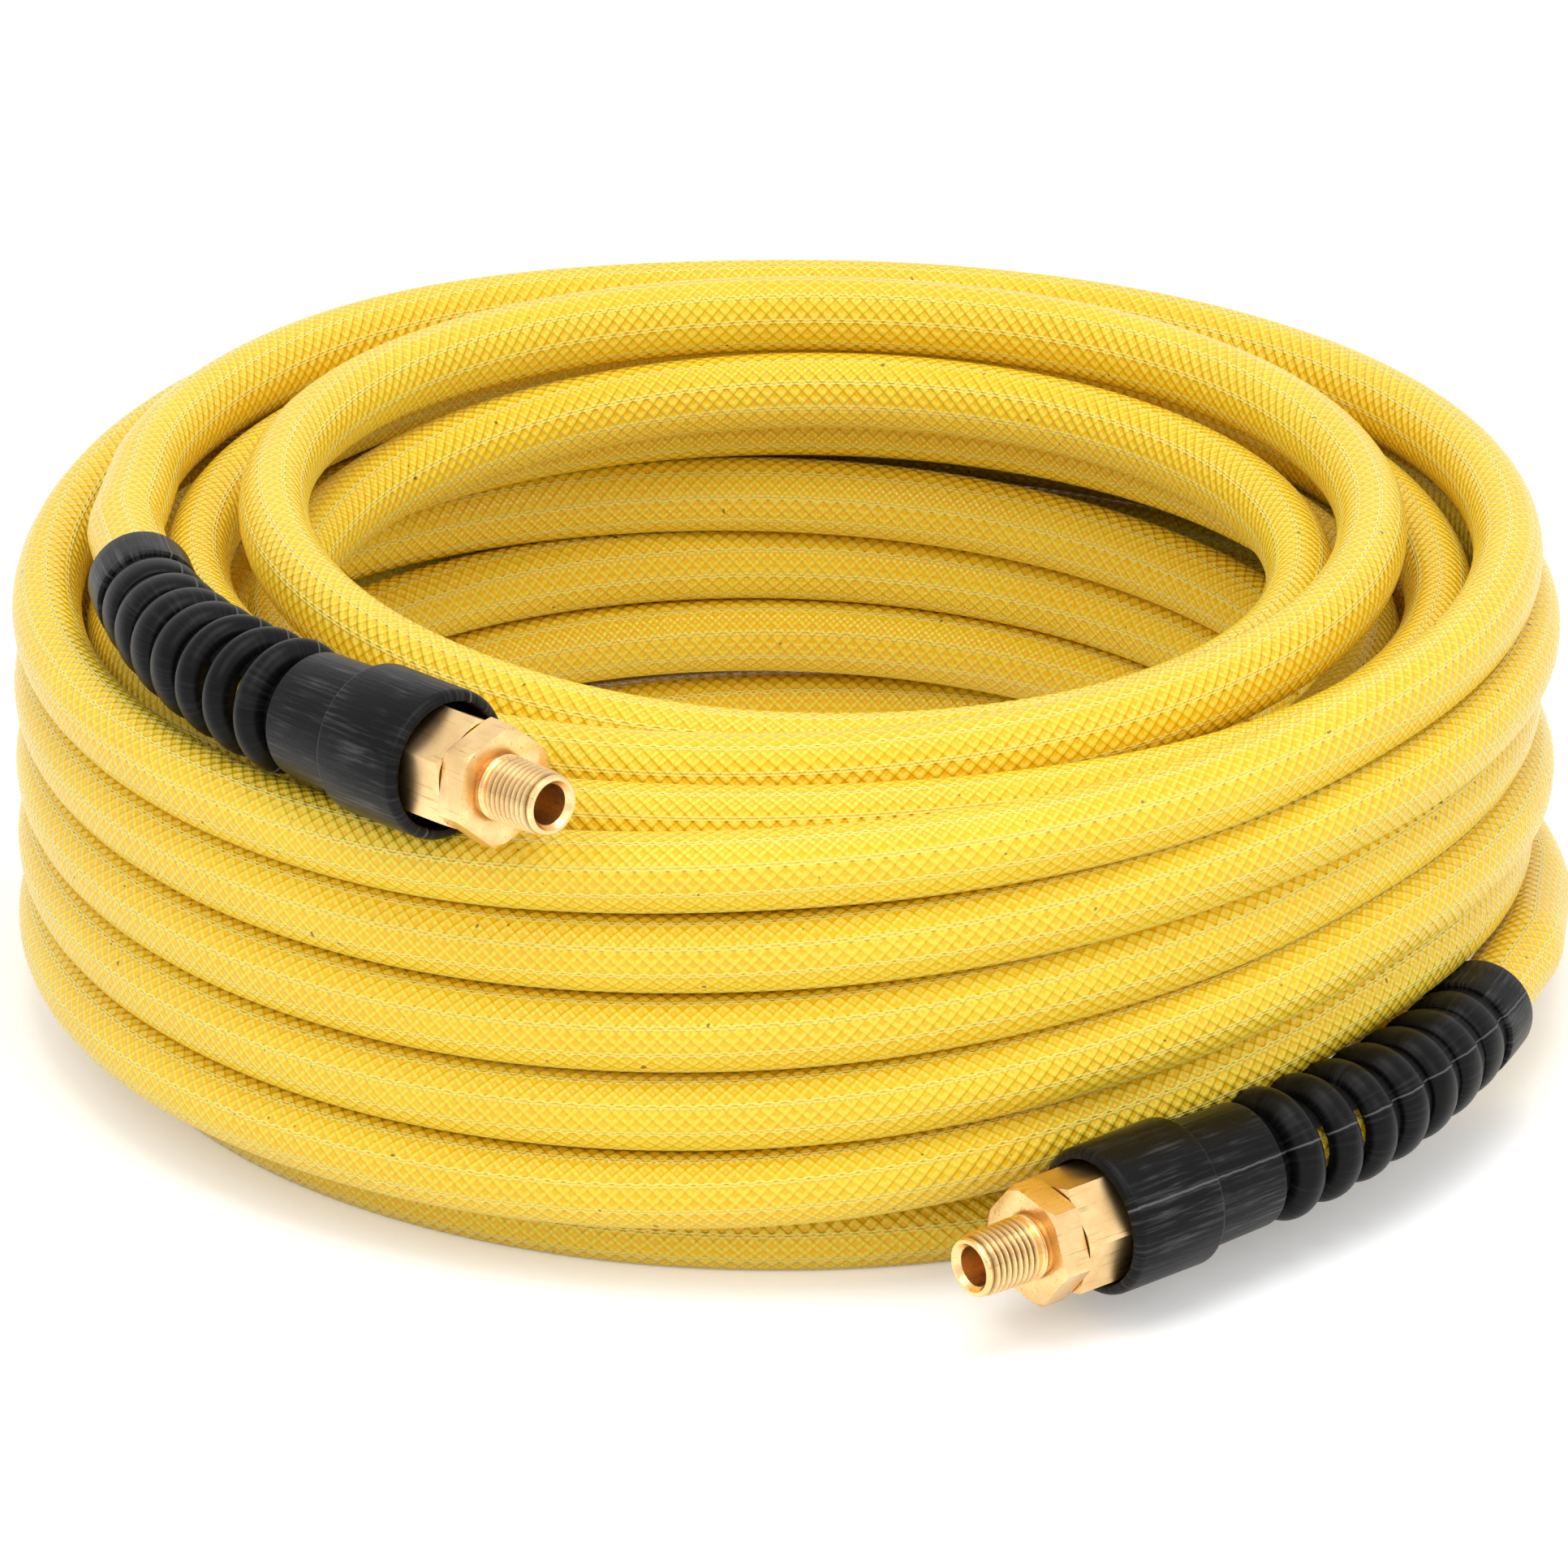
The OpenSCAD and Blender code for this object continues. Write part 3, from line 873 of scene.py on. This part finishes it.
def carve(piece: Piece, tool: Piece, operation: str) -> None:
    """Cuts a piece with a tool.

    Args:
        piece: the piece, which changes.
        tool: the solid that cuts it, which is used up.
        operation: DIFFERENCE, INTERSECT or UNION.
    """
    cut = piece.modifiers.new("carve", "BOOLEAN")
    cut.operation, cut.object, cut.solver = operation, tool, "EXACT"
    select_only(piece)
    bpy.ops.object.modifier_apply(modifier=cut.name)
    bpy.data.objects.remove(tool, do_unlink=True)


def soften(piece: Piece, degrees: float) -> None:
    """Shades a piece smooth except at edges sharper than the given angle."""
    select_only(piece)
    bpy.ops.object.shade_smooth_by_angle(angle=math.radians(degrees))


@dataclass
class Hose:
    """The whole hose, from one fitting through the pile to the other."""

    route: PileRoute
    diameter: float = 0.016
    wound_width: float = 0.0146
    wound_height: float = 0.0166
    settle: float = 0.07
    end_step: float = 0.004
    points_a_turn: int = 144
    first_point: int = 5
    ring_gap: float = 0.0053
    sides: int = 30
    drift: float = 0.23
    line: list[Vector] = field(default_factory=list)
    length: float = 0.0

    def _centreline(self) -> list[Vector]:
        """Lists points along the hose's middle.

        Returns:
            The points in the part's frame, evenly spaced.
        """
        reach = SIZES.hose_end + SIZES.line_up
        count = int((reach - SIZES.hose_start) / self.end_step)
        ends = [SIZES.hose_start + k * self.end_step for k in range(count)] + [reach]
        last_point = int(self.route.turns * self.points_a_turn)
        rough = [UPPER.frame_at(s)[0] for s in ends]
        rough += [self.route.point(k / self.points_a_turn)
                  for k in range(self.first_point, last_point + 1)]
        rough += [LOWER.frame_at(s)[0] for s in reversed(ends)]
        return [self.route.moved(p) for p in self._even(rough)]

    def _even(self, rough: list[Vector]) -> list[Vector]:
        """Spaces points evenly.

        Args:
            rough: points along the same line, at any distance.

        Returns:
            The new points, about a ring gap apart.
        """
        reach = [0.0]
        for a, b in zip(rough, rough[1:]):
            reach.append(reach[-1] + (b - a).length)
        count = round(reach[-1] / self.ring_gap)
        points, i = [], 0
        for k in range(count + 1):
            want = reach[-1] * k / count
            while i < len(rough) - 2 and reach[i + 1] < want:
                i += 1
            share = (want - reach[i]) / (reach[i + 1] - reach[i])
            points.append(rough[i].lerp(rough[i + 1], min(share, 1.0)))
        return points

    def _halves(self, reach: float) -> Pair:
        """Finds half the hose's width and height, oval inside the pile.

        Args:
            reach: distance along the hose from its nearer end.

        Returns:
            Half the width and half the height.
        """
        share = min(max((reach - SIZES.hose_end + SIZES.hose_start) / self.settle, 0.0), 1.0)
        share = share * share * (3 - 2 * share)
        return ((self.diameter + (self.wound_width - self.diameter) * share) / 2,
                (self.diameter + (self.wound_height - self.diameter) * share) / 2)

    def _ring(self, i: int, step: float) -> tuple[list[Vector], list[Pair]]:
        """Lays one ring of the tube.

        Args:
            i: which point of the centre line it lies at.
            step: distance between two points.

        Returns:
            Its vertices, and for each the place around and along.
        """
        last = len(self.line) - 1
        ahead = self.line[min(i + 1, last)] - self.line[max(i - 1, 0)]
        tangent = ahead.normalized()
        across = Vector((0, 0, 1)).cross(tangent).normalized()
        up = tangent.cross(across)
        half_w, half_h = self._halves(min(i, last - i) * step)
        verts, places = [], []
        for k in range(self.sides):
            a = 2 * math.pi * k / self.sides
            v = self.line[i] + across * (half_w * math.cos(a)) + up * (half_h * math.sin(a))
            v.z = max(v.z, 0.0)
            verts.append(v)
            places.append(((k / self.sides + self.drift * i * step) % 1.0, i * step))
        return verts, places

    def build(self, material: Material) -> Piece:
        """Sweeps the hose along its route.

        Args:
            material: the hose's finish.

        Returns:
            The hose as one mesh tube.
        """
        self.line = self._centreline()
        self.length = sum((b - a).length for a, b in zip(self.line, self.line[1:]))
        gaps, sides = len(self.line) - 1, self.sides
        verts, places = [], []
        for i in range(gaps + 1):
            ring, ring_places = self._ring(i, self.length / gaps)
            verts += ring
            places += ring_places
        faces = [
            (i * sides + k, i * sides + (k + 1) % sides,
             (i + 1) * sides + (k + 1) % sides, (i + 1) * sides + k)
            for i in range(gaps) for k in range(sides)
        ]
        faces.append(tuple(reversed(range(sides))))
        faces.append(tuple(gaps * sides + k for k in range(sides)))
        mesh = bpy.data.meshes.new("hose")
        mesh.from_pydata(verts, [], faces)
        mesh.update()
        mark_uv(mesh, places)
        mesh.shade_smooth()
        piece = bpy.data.objects.new("hose", mesh)
        bpy.context.scene.collection.objects.link(piece)
        dress(piece, material)
        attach(piece, HOSE_BODY)
        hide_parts("hose_coil", "upper_hose_cover", "lower_hose_cover")
        log.info("hose: %.2f m long, %d rings", self.length, len(self.line))
        return piece


@dataclass
class BendBoot:
    """Rubber boot: mouth collar, sleeve, ribs that grow to the fitting, collar."""

    place: EndPlace
    route: PileRoute
    segments: int = 72
    pocket_radius: float = 0.0131
    pocket_end: float = 0.0251
    inner_pocket_radius: float = 0.0115
    inner_pocket_end: float = 0.0356
    bore_radius: float = 0.00805
    bore_steps: int = 24
    bore_lip: float = 0.0003
    mouth_radius: float = 0.0155
    mouth_inner_share: float = 0.6
    mouth_outer_share: float = 1.6
    sleeve_radius: float = 0.0135
    sleeve_rear_radius: float = 0.0131
    sleeve_fillet: float = 0.0004
    groove_radius: float = 0.0099
    first_rib_radius: float = 0.014
    last_rib_radius: float = 0.0112
    spread_ribs: int = 3
    rib_round: float = 0.0038
    rib_flat: float = 0.0002
    rib_rise: float = 0.96
    rib_steps: int = 7
    rear_radius: float = 0.011
    rear_gap: float = 0.0012
    rear_front_round: float = 0.0008
    rear_round: float = 0.0009
    rear_steps: int = 3
    lip_round: float = 0.0012
    slot_width: float = 0.0058
    slot_height: float = 0.013
    slot_over: float = 0.0003
    slot_segments: int = 96
    sharp: float = 38

    def _profile(self) -> Outline:
        """Lists the boot's closed outline.

        Returns:
            Points as (distance back, radius).
        """
        s, lip = SIZES, self.lip_round
        fillet = self.sleeve_fillet
        p = [(self.pocket_end, self.inner_pocket_radius), (self.pocket_end, self.pocket_radius),
             (s.mouth + lip, self.pocket_radius)]
        p += self._corner(s.mouth, self.pocket_radius, lip * self.mouth_inner_share, -1, -1)
        p += self._corner(s.mouth, self.mouth_radius, lip * self.mouth_outer_share, -1, 1)
        p += self._corner(s.sleeve, self.mouth_radius, lip, 1, 1)
        p += [(s.sleeve, self.sleeve_radius + fillet), (s.sleeve + fillet, self.sleeve_radius)]
        p += self._corner(s.bend, self.sleeve_rear_radius, lip, 1, 1)
        for i in range(s.rib_count):
            p += self._rib(i)
        front = s.rear - s.rear_length + self.rear_gap
        p.append((front, self.groove_radius))
        p += self._corner(front, self.rear_radius, self.rear_front_round, -1, 1)
        p += [(front + (s.rear - front) * k / self.rear_steps, self.rear_radius)
              for k in range(1, self.rear_steps)]
        p += self._corner(s.rear, self.rear_radius, self.rear_round, 1, 1)
        p.append((s.rear, self.bore_radius + self.bore_lip))
        length = s.rear - self.bore_lip - self.inner_pocket_end
        p += [(s.rear - self.bore_lip - length * k / self.bore_steps, self.bore_radius)
              for k in range(self.bore_steps + 1)]
        p.append((self.inner_pocket_end, self.inner_pocket_radius))
        return p

    def _rib(self, i: int) -> Outline:
        """Lists the outline of one rib.

        Args:
            i: which rib, from the sleeve.

        Returns:
            Points from the groove before it to the one behind.
        """
        share = i / (SIZES.rib_count - 1)
        radius = self.first_rib_radius + (self.last_rib_radius - self.first_rib_radius) * share
        middle = SIZES.bend + SIZES.rib_start + (i + 0.5) * SIZES.rib_pitch
        spread = self.place.rib_spread if i < self.spread_ribs else 0.0
        half = (SIZES.rib_width - spread) / 2
        rounding = min(self.rib_round, half - self.rib_flat)
        rise = (radius - self.groove_radius) * self.rib_rise
        front, rear = middle - half, middle + half
        return [
            (front, self.groove_radius),
            *self._corner(front, radius, rounding, -1, 1, rise, self.rib_steps),
            *self._corner(rear, radius, rounding, 1, 1, rise, self.rib_steps),
            (rear, self.groove_radius),
        ]

    @staticmethod
    def _corner(x: float, r: float, size: float, x_side: int, r_side: int,
                height: float | None = None, steps: int = 4) -> Outline:
        """Rounds a corner of the outline.

        Args:
            x: distance back of the corner.
            r: radius of the corner.
            size: the rounding along the boot.
            x_side: 1 where the solid lies in front of the corner, -1 behind.
            r_side: 1 for an outer corner and -1 for an inner one.
            height: the rounding across the boot, if it differs.
            steps: how many short edges make the corner.

        Returns:
            Points from the near side of the corner to its far side.
        """
        rise = size if height is None else height
        cx, cr = x - x_side * size, r - r_side * rise
        points = []
        for k in range(steps + 1):
            a = math.radians(90 * k / steps)
            points.append((cx + x_side * size * math.sin(a), cr + r_side * rise * math.cos(a)))
        outward_first = x_side * r_side > 0
        return points if outward_first else list(reversed(points))

    def build(self, material: Material) -> Piece:
        """Models the boot straight, cuts its slots and lays it in its bend.

        Args:
            material: the boot's finish.

        Returns:
            The finished boot.
        """
        piece = turned_solid(f"{self.place.name}_boot_shell", self._profile(), self.segments)
        for k in (1, 2):
            self._cut_slot(piece, SIZES.bend + SIZES.rib_start + k * SIZES.rib_pitch)
        self._lay(piece)
        dress(piece, material)
        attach(piece, HOSE_BODY)
        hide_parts(f"{self.place.name}_boot")
        log.info("%s: %d faces", piece.name, len(piece.data.polygons))
        return piece

    def _cut_slot(self, piece: Piece, x: float) -> None:
        """Cuts one slot between two ribs, on the outer side of the bend.

        Args:
            piece: the boot, still straight.
            x: distance back of the slot's middle.
        """
        half = self.slot_width / 2
        reach = self.groove_radius + self.slot_over
        disc = turned_solid("slot", [(x - half, reach), (x + half, reach)],
                            self.slot_segments, True)
        clear_selection()
        bpy.ops.mesh.primitive_cube_add(
            size=1, location=(x, -self.place.bend.value * reach, 0),
            scale=(self.slot_width * 2, reach, self.slot_height))
        carve(disc, bpy.context.object, "INTERSECT")
        carve(piece, disc, "DIFFERENCE")

    def _lay(self, piece: Piece) -> None:
        """Carries the straight boot into its place, round the hose's bend.

        Args:
            piece: the boot, still straight.
        """
        places = []
        for v in piece.data.vertices:
            angle = math.atan2(v.co.z, v.co.y) - math.radians(self.place.seam_turn)
            places.append(((angle / (2 * math.pi)) % 1.0, v.co.x))
        mark_uv(piece.data, places)
        for v in piece.data.vertices:
            point, _, left, up = self.place.frame_at(v.co.x)
            v.co = self.route.moved(point + left * v.co.y + up * v.co.z)
        piece.data.update()
        soften(piece, self.sharp)


@dataclass
class ThreadedFitting:
    """The brass nut and body of one end, and the hose layers inside them.

    The tip's outline is measured from the tip, and the neck's from the front
    face of the hexagon. Crests are those of the pipe thread, and the thread is
    the one behind the hexagon, on which the nut turns. Each pair of chamfers is
    that of a hexagon's front and rear.
    """

    place: EndPlace
    route: PileRoute
    segments: int = 96
    stub_length: float = 0.0145
    stub_radius: float = 0.00685
    stub_taper: float = 0.00045
    tip_outline: tuple = ((0.0, 0.0058), (0.0003, 0.0061), (0.0007, 0.0062))
    neck_outline: tuple = ((-0.0015, 0.0059), (-0.0006, 0.0060), (-0.0002, 0.0063),
                           (0.0, 0.0068), (0.0004, 0.0068), (0.0006, 0.0075))
    crest_pitch: float = 0.00141
    crest_count: int = 8
    crest_start: float = 0.0015
    crest_depth: float = 0.0008
    crest_flat: float = 0.00011
    # How steeply the painted shade in the thread roots grows with depth.
    root_shade_curve: float = 1.5
    mouth_radius: float = 0.0051
    mouth_step: float = 0.0006
    mouth_cone: float = 0.0003
    bore_radius: float = 0.0042
    bore_end: float = 0.003
    bore_cone: float = 0.0006
    stem_bore_radius: float = 0.0032
    body_flats: float = 0.0222
    body_thickness: float = 0.0065
    body_chamfers: Pair = (0.0011, 0.0006)
    core_radius: float = 0.0075
    core_end: float = 0.0006
    hexagon_hole: float = 0.0064
    hole_segments: int = 48
    thread_radius: float = 0.0093
    thread_depth: float = 0.0007
    thread_length: float = 0.0085
    thread_count: int = 5
    thread_run: float = 0.0004
    thread_end: float = 0.001
    thread_end_radius: float = 0.0080
    thread_crest: float = 0.00012
    thread_root: float = 0.0001
    stem_radius: float = 0.00435
    stem_length: float = 0.022
    stem_cone: float = 0.0008
    stem_tip_radius: float = 0.0038
    nut_flats: float = 0.022
    nut_start: float = 0.0068
    nut_hex_length: float = 0.0177
    nut_chamfers: Pair = (0.0010, 0.0004)
    nut_end: float = 0.035
    skirt_radius: float = 0.0111
    skirt_draft: float = 0.0002
    skirt_inside: float = 0.002
    skirt_edge: float = 0.0005
    nut_bore_radius: float = 0.0096
    nut_mouth: float = 0.0006
    nut_mouth_widen: float = 0.0016
    nut_lip: float = 0.0025
    nut_lip_cone: float = 0.001
    hose_hole_radius: float = 0.0084
    edge: float = 0.00012
    edge_steps: int = 2
    edge_angle: float = 28
    sharp: float = 24

    def build(self, yarn: Material, liner: Material) -> list[Piece]:
        """Models the nut and the body and dresses the rest.

        Args:
            yarn: finish of the braid.
            liner: finish of the liner.

        Returns:
            The pieces of the fitting.
        """
        name = self.place.name
        brass = BrassFinish(f"{name}_brass", self.place.heading).make()
        nut_brass = BrassFinish(f"{name}_nut_brass", self.place.heading, roughness=0.23).make()
        body = self._body(brass)
        nut = self._nut(nut_brass)
        finishes = {
            f"{name}_ferrule": brass,
            f"{name}_hose_braid": yarn,
            f"{name}_hose_liner": liner,
        }
        for node, material in finishes.items():
            dress(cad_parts[node], material)
        log.info("%s: body %d faces, nut %d faces", name, len(body.data.polygons),
                 len(nut.data.polygons))
        return [body, nut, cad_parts[f"{name}_ferrule"]]

    def _body(self, material: Material) -> Piece:
        """Models the body: pipe stub, hexagon, back thread and stem.

        Args:
            material: the body's finish.

        Returns:
            The body, in its place.
        """
        name = self.place.name
        piece = turned_solid(f"{name}_fitting_brass", self._body_outline(), self.segments)
        hexagon = self._hexagon(f"{name}_body_hexagon", self.body_flats, 0.0,
                                self.body_thickness, *self.body_chamfers)
        hole = [(x, self.hexagon_hole) for x in (-CUT_CLEAR, self.body_thickness + CUT_CLEAR)]
        carve(hexagon, turned_solid("core", hole, self.hole_segments, True), "DIFFERENCE")
        select_only(hexagon, piece)
        bpy.ops.object.join()
        self._finish(piece, material, self.place.body_turn)
        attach(piece, f"fitting_{name}")
        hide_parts(f"{name}_fitting_body")
        return piece

    def _body_outline(self) -> Outline:
        """Lists the closed outline of the body's turned parts.

        Returns:
            Points as (distance back, radius), from the tip to the rear and back
            through the bore.
        """
        tip, rear = -self.stub_length, self.body_thickness + self.thread_length
        p = [(tip, self.mouth_radius), *((tip + x, r) for x, r in self.tip_outline)]
        for i in reversed(range(self.crest_count)):
            x = -self.crest_start - (i + 0.5) * self.crest_pitch
            r = self.stub_radius + self.stub_taper * x / self.stub_length
            p += [(x - self.crest_pitch / 2 + self.crest_flat / 2, r - self.crest_depth),
                  (x - self.crest_flat, r), (x + self.crest_flat, r),
                  (x + self.crest_pitch / 2 - self.crest_flat / 2, r - self.crest_depth)]
        root = self.thread_radius - self.thread_depth
        p += [*self.neck_outline, (self.body_thickness - self.core_end, self.core_radius),
              (self.body_thickness - self.thread_run, root)]
        pitch = (self.thread_length - self.thread_end) / self.thread_count
        for i in range(self.thread_count):
            x = self.body_thickness + (i + 0.5) * pitch
            p += [(x - pitch / 2 + self.thread_root, root),
                  (x - self.thread_crest, self.thread_radius),
                  (x + self.thread_crest, self.thread_radius)]
        stem_end = rear + self.stem_length
        return p + [
            (rear - self.thread_end, root), (rear, self.thread_end_radius),
            (rear, self.stem_radius), (stem_end - self.stem_cone, self.stem_radius),
            (stem_end, self.stem_tip_radius), (stem_end, self.stem_bore_radius),
            (self.bore_end + self.bore_cone, self.stem_bore_radius),
            (self.bore_end, self.bore_radius), (tip + 2 * self.mouth_step, self.bore_radius),
            (tip + self.mouth_step, self.mouth_radius - self.mouth_cone)]

    def _nut(self, material: Material) -> Piece:
        """Models the nut: hexagon in front, round skirt behind, and its bore.

        Args:
            material: the nut's finish.

        Returns:
            The nut, in its place.
        """
        name = self.place.name
        piece = self._hexagon(f"{name}_nut_brass", self.nut_flats, self.nut_start,
                              self.nut_hex_length, *self.nut_chamfers)
        hex_end = self.nut_start + self.nut_hex_length
        front_radius = self.skirt_radius - self.skirt_draft
        skirt = [(hex_end - self.skirt_inside, front_radius),
                 (hex_end + self.skirt_draft, front_radius),
                 (self.nut_end - self.skirt_edge, self.skirt_radius),
                 (self.nut_end, self.skirt_radius - self.skirt_edge)]
        carve(piece, turned_solid("skirt", skirt, self.segments, True), "UNION")
        inside = self.nut_end - self.nut_lip
        bore = [(self.nut_start - CUT_CLEAR, self.nut_bore_radius + self.nut_mouth_widen),
                (self.nut_start + self.nut_mouth, self.nut_bore_radius),
                (inside - self.nut_lip_cone, self.nut_bore_radius),
                (inside, self.hose_hole_radius),
                (self.nut_end + CUT_CLEAR, self.hose_hole_radius)]
        carve(piece, turned_solid("bore", bore, self.segments, True), "DIFFERENCE")
        self._finish(piece, material, self.place.nut_turn)
        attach(piece, f"nut_{name}")
        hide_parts(f"{name}_nut")
        return piece

    def _hexagon(self, name: str, flats: float, x: float, length: float,
                 front: float, rear: float) -> Piece:
        """Models a hexagon along +X with turned chamfers.

        Args:
            name: name of the piece.
            flats: size across flats.
            x: where its front face lies.
            length: its length.
            front: how far the front chamfer comes in from the corners.
            rear: how far the rear one does.

        Returns:
            The hexagon, corners up and down.
        """
        clear_selection()
        corner = flats / math.sqrt(3)
        middle = (x + length / 2, 0, 0)
        bpy.ops.mesh.primitive_cylinder_add(vertices=6, radius=corner, depth=length,
                                            location=middle, rotation=(0, math.pi / 2, 0))
        piece = bpy.context.object
        piece.name = piece.data.name = name
        bpy.ops.transform.rotate(value=math.pi / 2, orient_axis="X", center_override=middle)
        bpy.ops.object.transform_apply(location=True, rotation=True, scale=True)
        slope = math.tan(math.radians(30))
        end = x + length
        cone = [(x, corner - front), (x + front * slope, corner),
                (x + front * slope, corner + CUT_CLEAR), (end - rear * slope, corner + CUT_CLEAR),
                (end - rear * slope, corner), (end, corner - rear)]
        carve(piece, turned_solid("cone", cone, self.segments, True), "INTERSECT")
        return piece

    def _depth_at(self, x: float, r: float) -> float:
        """Tells how deep in the pipe thread a point lies.

        Args:
            x: distance back of the point.
            r: its distance from the axis.

        Returns:
            0 at a crest or off the thread, and 1 in a root.
        """
        first, last = -self.crest_start - self.crest_count * self.crest_pitch, -self.crest_start
        if not first <= x <= last or r < self.stub_radius - 2 * self.crest_depth:
            return 0.0
        crest = self.stub_radius + self.stub_taper * x / self.stub_length
        return min(max((crest - r) / self.crest_depth, 0.0), 1.0) ** self.root_shade_curve

    def _finish(self, piece: Piece, material: Material, turn: float) -> None:
        """Eases the edges of a piece, marks its thread's depth for the painted shade in the roots
        and lays it in its place.

        Args:
            piece: the piece, along +X.
            material: its finish.
            turn: how far it is turned about the hose, in degrees.
        """
        select_only(piece)
        bevel = piece.modifiers.new("edge", "BEVEL")
        bevel.width, bevel.segments, bevel.limit_method = self.edge, self.edge_steps, "ANGLE"
        bevel.angle_limit = math.radians(self.edge_angle)
        bpy.ops.object.modifier_apply(modifier=bevel.name)
        # The thread's depth drives the painted shade in its roots.
        depth = piece.data.attributes.new(DEPTH_MARK, "FLOAT", "POINT")
        cos, sin = math.cos(math.radians(turn)), math.sin(math.radians(turn))
        point, back, left, up = self.place.frame_at(0.0)
        for v in piece.data.vertices:
            depth.data[v.index].value = self._depth_at(v.co.x, math.hypot(v.co.y, v.co.z))
            y, z = v.co.y * cos - v.co.z * sin, v.co.y * sin + v.co.z * cos
            v.co = self.route.moved(point + back * v.co.x + left * y + up * z)
        piece.data.update()
        soften(piece, self.sharp)
        dress(piece, material)


# ------------------------------------------------------------------ studio


@dataclass
class ViewCamera:
    """Long lens, a little above the pile, in front of it."""

    centre: tuple[float, float]
    elevation: float = 24.0
    distance: float = 2.6
    aim_height: float = 0.0437
    lens: float = 283.4
    sensor: float = 36.0
    far: float = 20.0

    def build(self) -> None:
        """Makes the camera and uses it."""
        e = math.radians(self.elevation)
        aim = Vector((*self.centre, self.aim_height))
        back = Vector((0, -math.cos(e), math.sin(e)))
        data = bpy.data.cameras.new("camera")
        data.lens, data.sensor_width, data.clip_end = self.lens, self.sensor, self.far
        camera = bpy.data.objects.new("camera", data)
        camera.location = aim + back * self.distance
        camera.rotation_euler = (-back).to_track_quat("-Z", "Y").to_euler()
        bpy.context.scene.collection.objects.link(camera)
        bpy.context.scene.camera = camera
        log.info("camera: %.0f mm lens", self.lens)


@dataclass
class SoftBox:
    """One large lamp."""

    name: str
    place: tuple[float, float, float]
    size: float
    power: float

    def build(self, target: Vector) -> None:
        """Hangs the lamp.

        Args:
            target: the point that it faces.
        """
        data = bpy.data.lights.new(self.name, "AREA")
        data.shape, data.size, data.energy = "SQUARE", self.size, self.power
        lamp = bpy.data.objects.new(self.name, data)
        lamp.location = self.place
        lamp.rotation_euler = (target - lamp.location).to_track_quat("-Z", "Y").to_euler()
        bpy.context.scene.collection.objects.link(lamp)


@dataclass
class Studio:
    """White floor and surroundings with soft lamps."""

    floor_size: float = 30.0
    floor_lift: float = 0.26
    floor_roughness: float = 0.9
    paper: Colour = (0.90, 0.90, 0.90, 1)
    white: Colour = (1, 1, 1, 1)
    world: float = 0.76
    lit_point: tuple = (0, 0, 0.04)
    lamps: tuple = (
        SoftBox("key", (-0.9, -1.3, 1.6), 1.1, 9.2),
        SoftBox("fill", (1.3, -1.1, 1.2), 0.9, 6.0),
        SoftBox("top", (0.1, -0.35, 1.9), 1.2, 15.5),
    )

    def build(self) -> None:
        """Builds floor, world and lamps."""
        clear_selection()
        bpy.ops.mesh.primitive_plane_add(size=self.floor_size, location=(0, 0, 0))
        floor = bpy.context.object
        floor.name = "floor"
        dress(floor, self._floor_paper())
        self._sky()
        for lamp in self.lamps:
            lamp.build(Vector(self.lit_point))
        bpy.context.scene.view_settings.view_transform = "Standard"
        log.info("studio: %d lamps", len(self.lamps))

    @staticmethod
    def _seen(t: NodeTree) -> Socket:
        """Tells rays that look from rays that only carry light.

        Args:
            t: nodes of the floor or the world.

        Returns:
            1 for a ray from the camera, or one mirrored or let through on its way.
        """
        rays = t.add("ShaderNodeLightPath").outputs
        seen = t.math("MAXIMUM", rays["Is Camera Ray"], rays["Is Glossy Ray"])
        return t.math("MAXIMUM", seen, rays["Is Transmission Ray"])

    def _floor_paper(self) -> Material:
        """Makes pale paper that keeps the shadow.

        Returns:
            The floor's material.
        """
        t = new_material("floor_paper")
        return t.shade({
            "Base Color": self.paper,
            "Roughness": self.floor_roughness,
            "Specular IOR Level": 0.0,
            "Emission Color": self.white,
            "Emission Strength": t.times(self._seen(t), self.floor_lift),
        })

    def _sky(self) -> None:
        """White surroundings: full white where they are seen, softer as light."""
        world = bpy.data.worlds.new("surroundings")
        bpy.context.scene.world = world
        t = NodeTree(world, "Background")
        pick = t.add("ShaderNodeMapRange")
        t.fill(pick, {"Value": self._seen(t), "To Min": self.world})
        t.shade({"Color": self.white, "Strength": pick.outputs[0]})


# -------------------------------------------------------------------- main


def main() -> None:
    """Builds the hose, its boots and fittings, and the studio round them."""
    logging.basicConfig(level=logging.INFO, format="%(name)s: %(message)s")
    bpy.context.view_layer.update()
    route = PileRoute()
    ViewCamera(route.centre).build()
    hose = Hose(route)
    tube = hose.build(HoseFinish().make())
    rubber = BootFinish().make()
    yarn, liner = YARN.make(), LINER.make()
    for place in (UPPER, LOWER):
        boot = BendBoot(place, route).build(rubber)
        fitting = ThreadedFitting(place, route).build(yarn, liner)
    Studio().build()


if __name__ == "__main__":
    main()
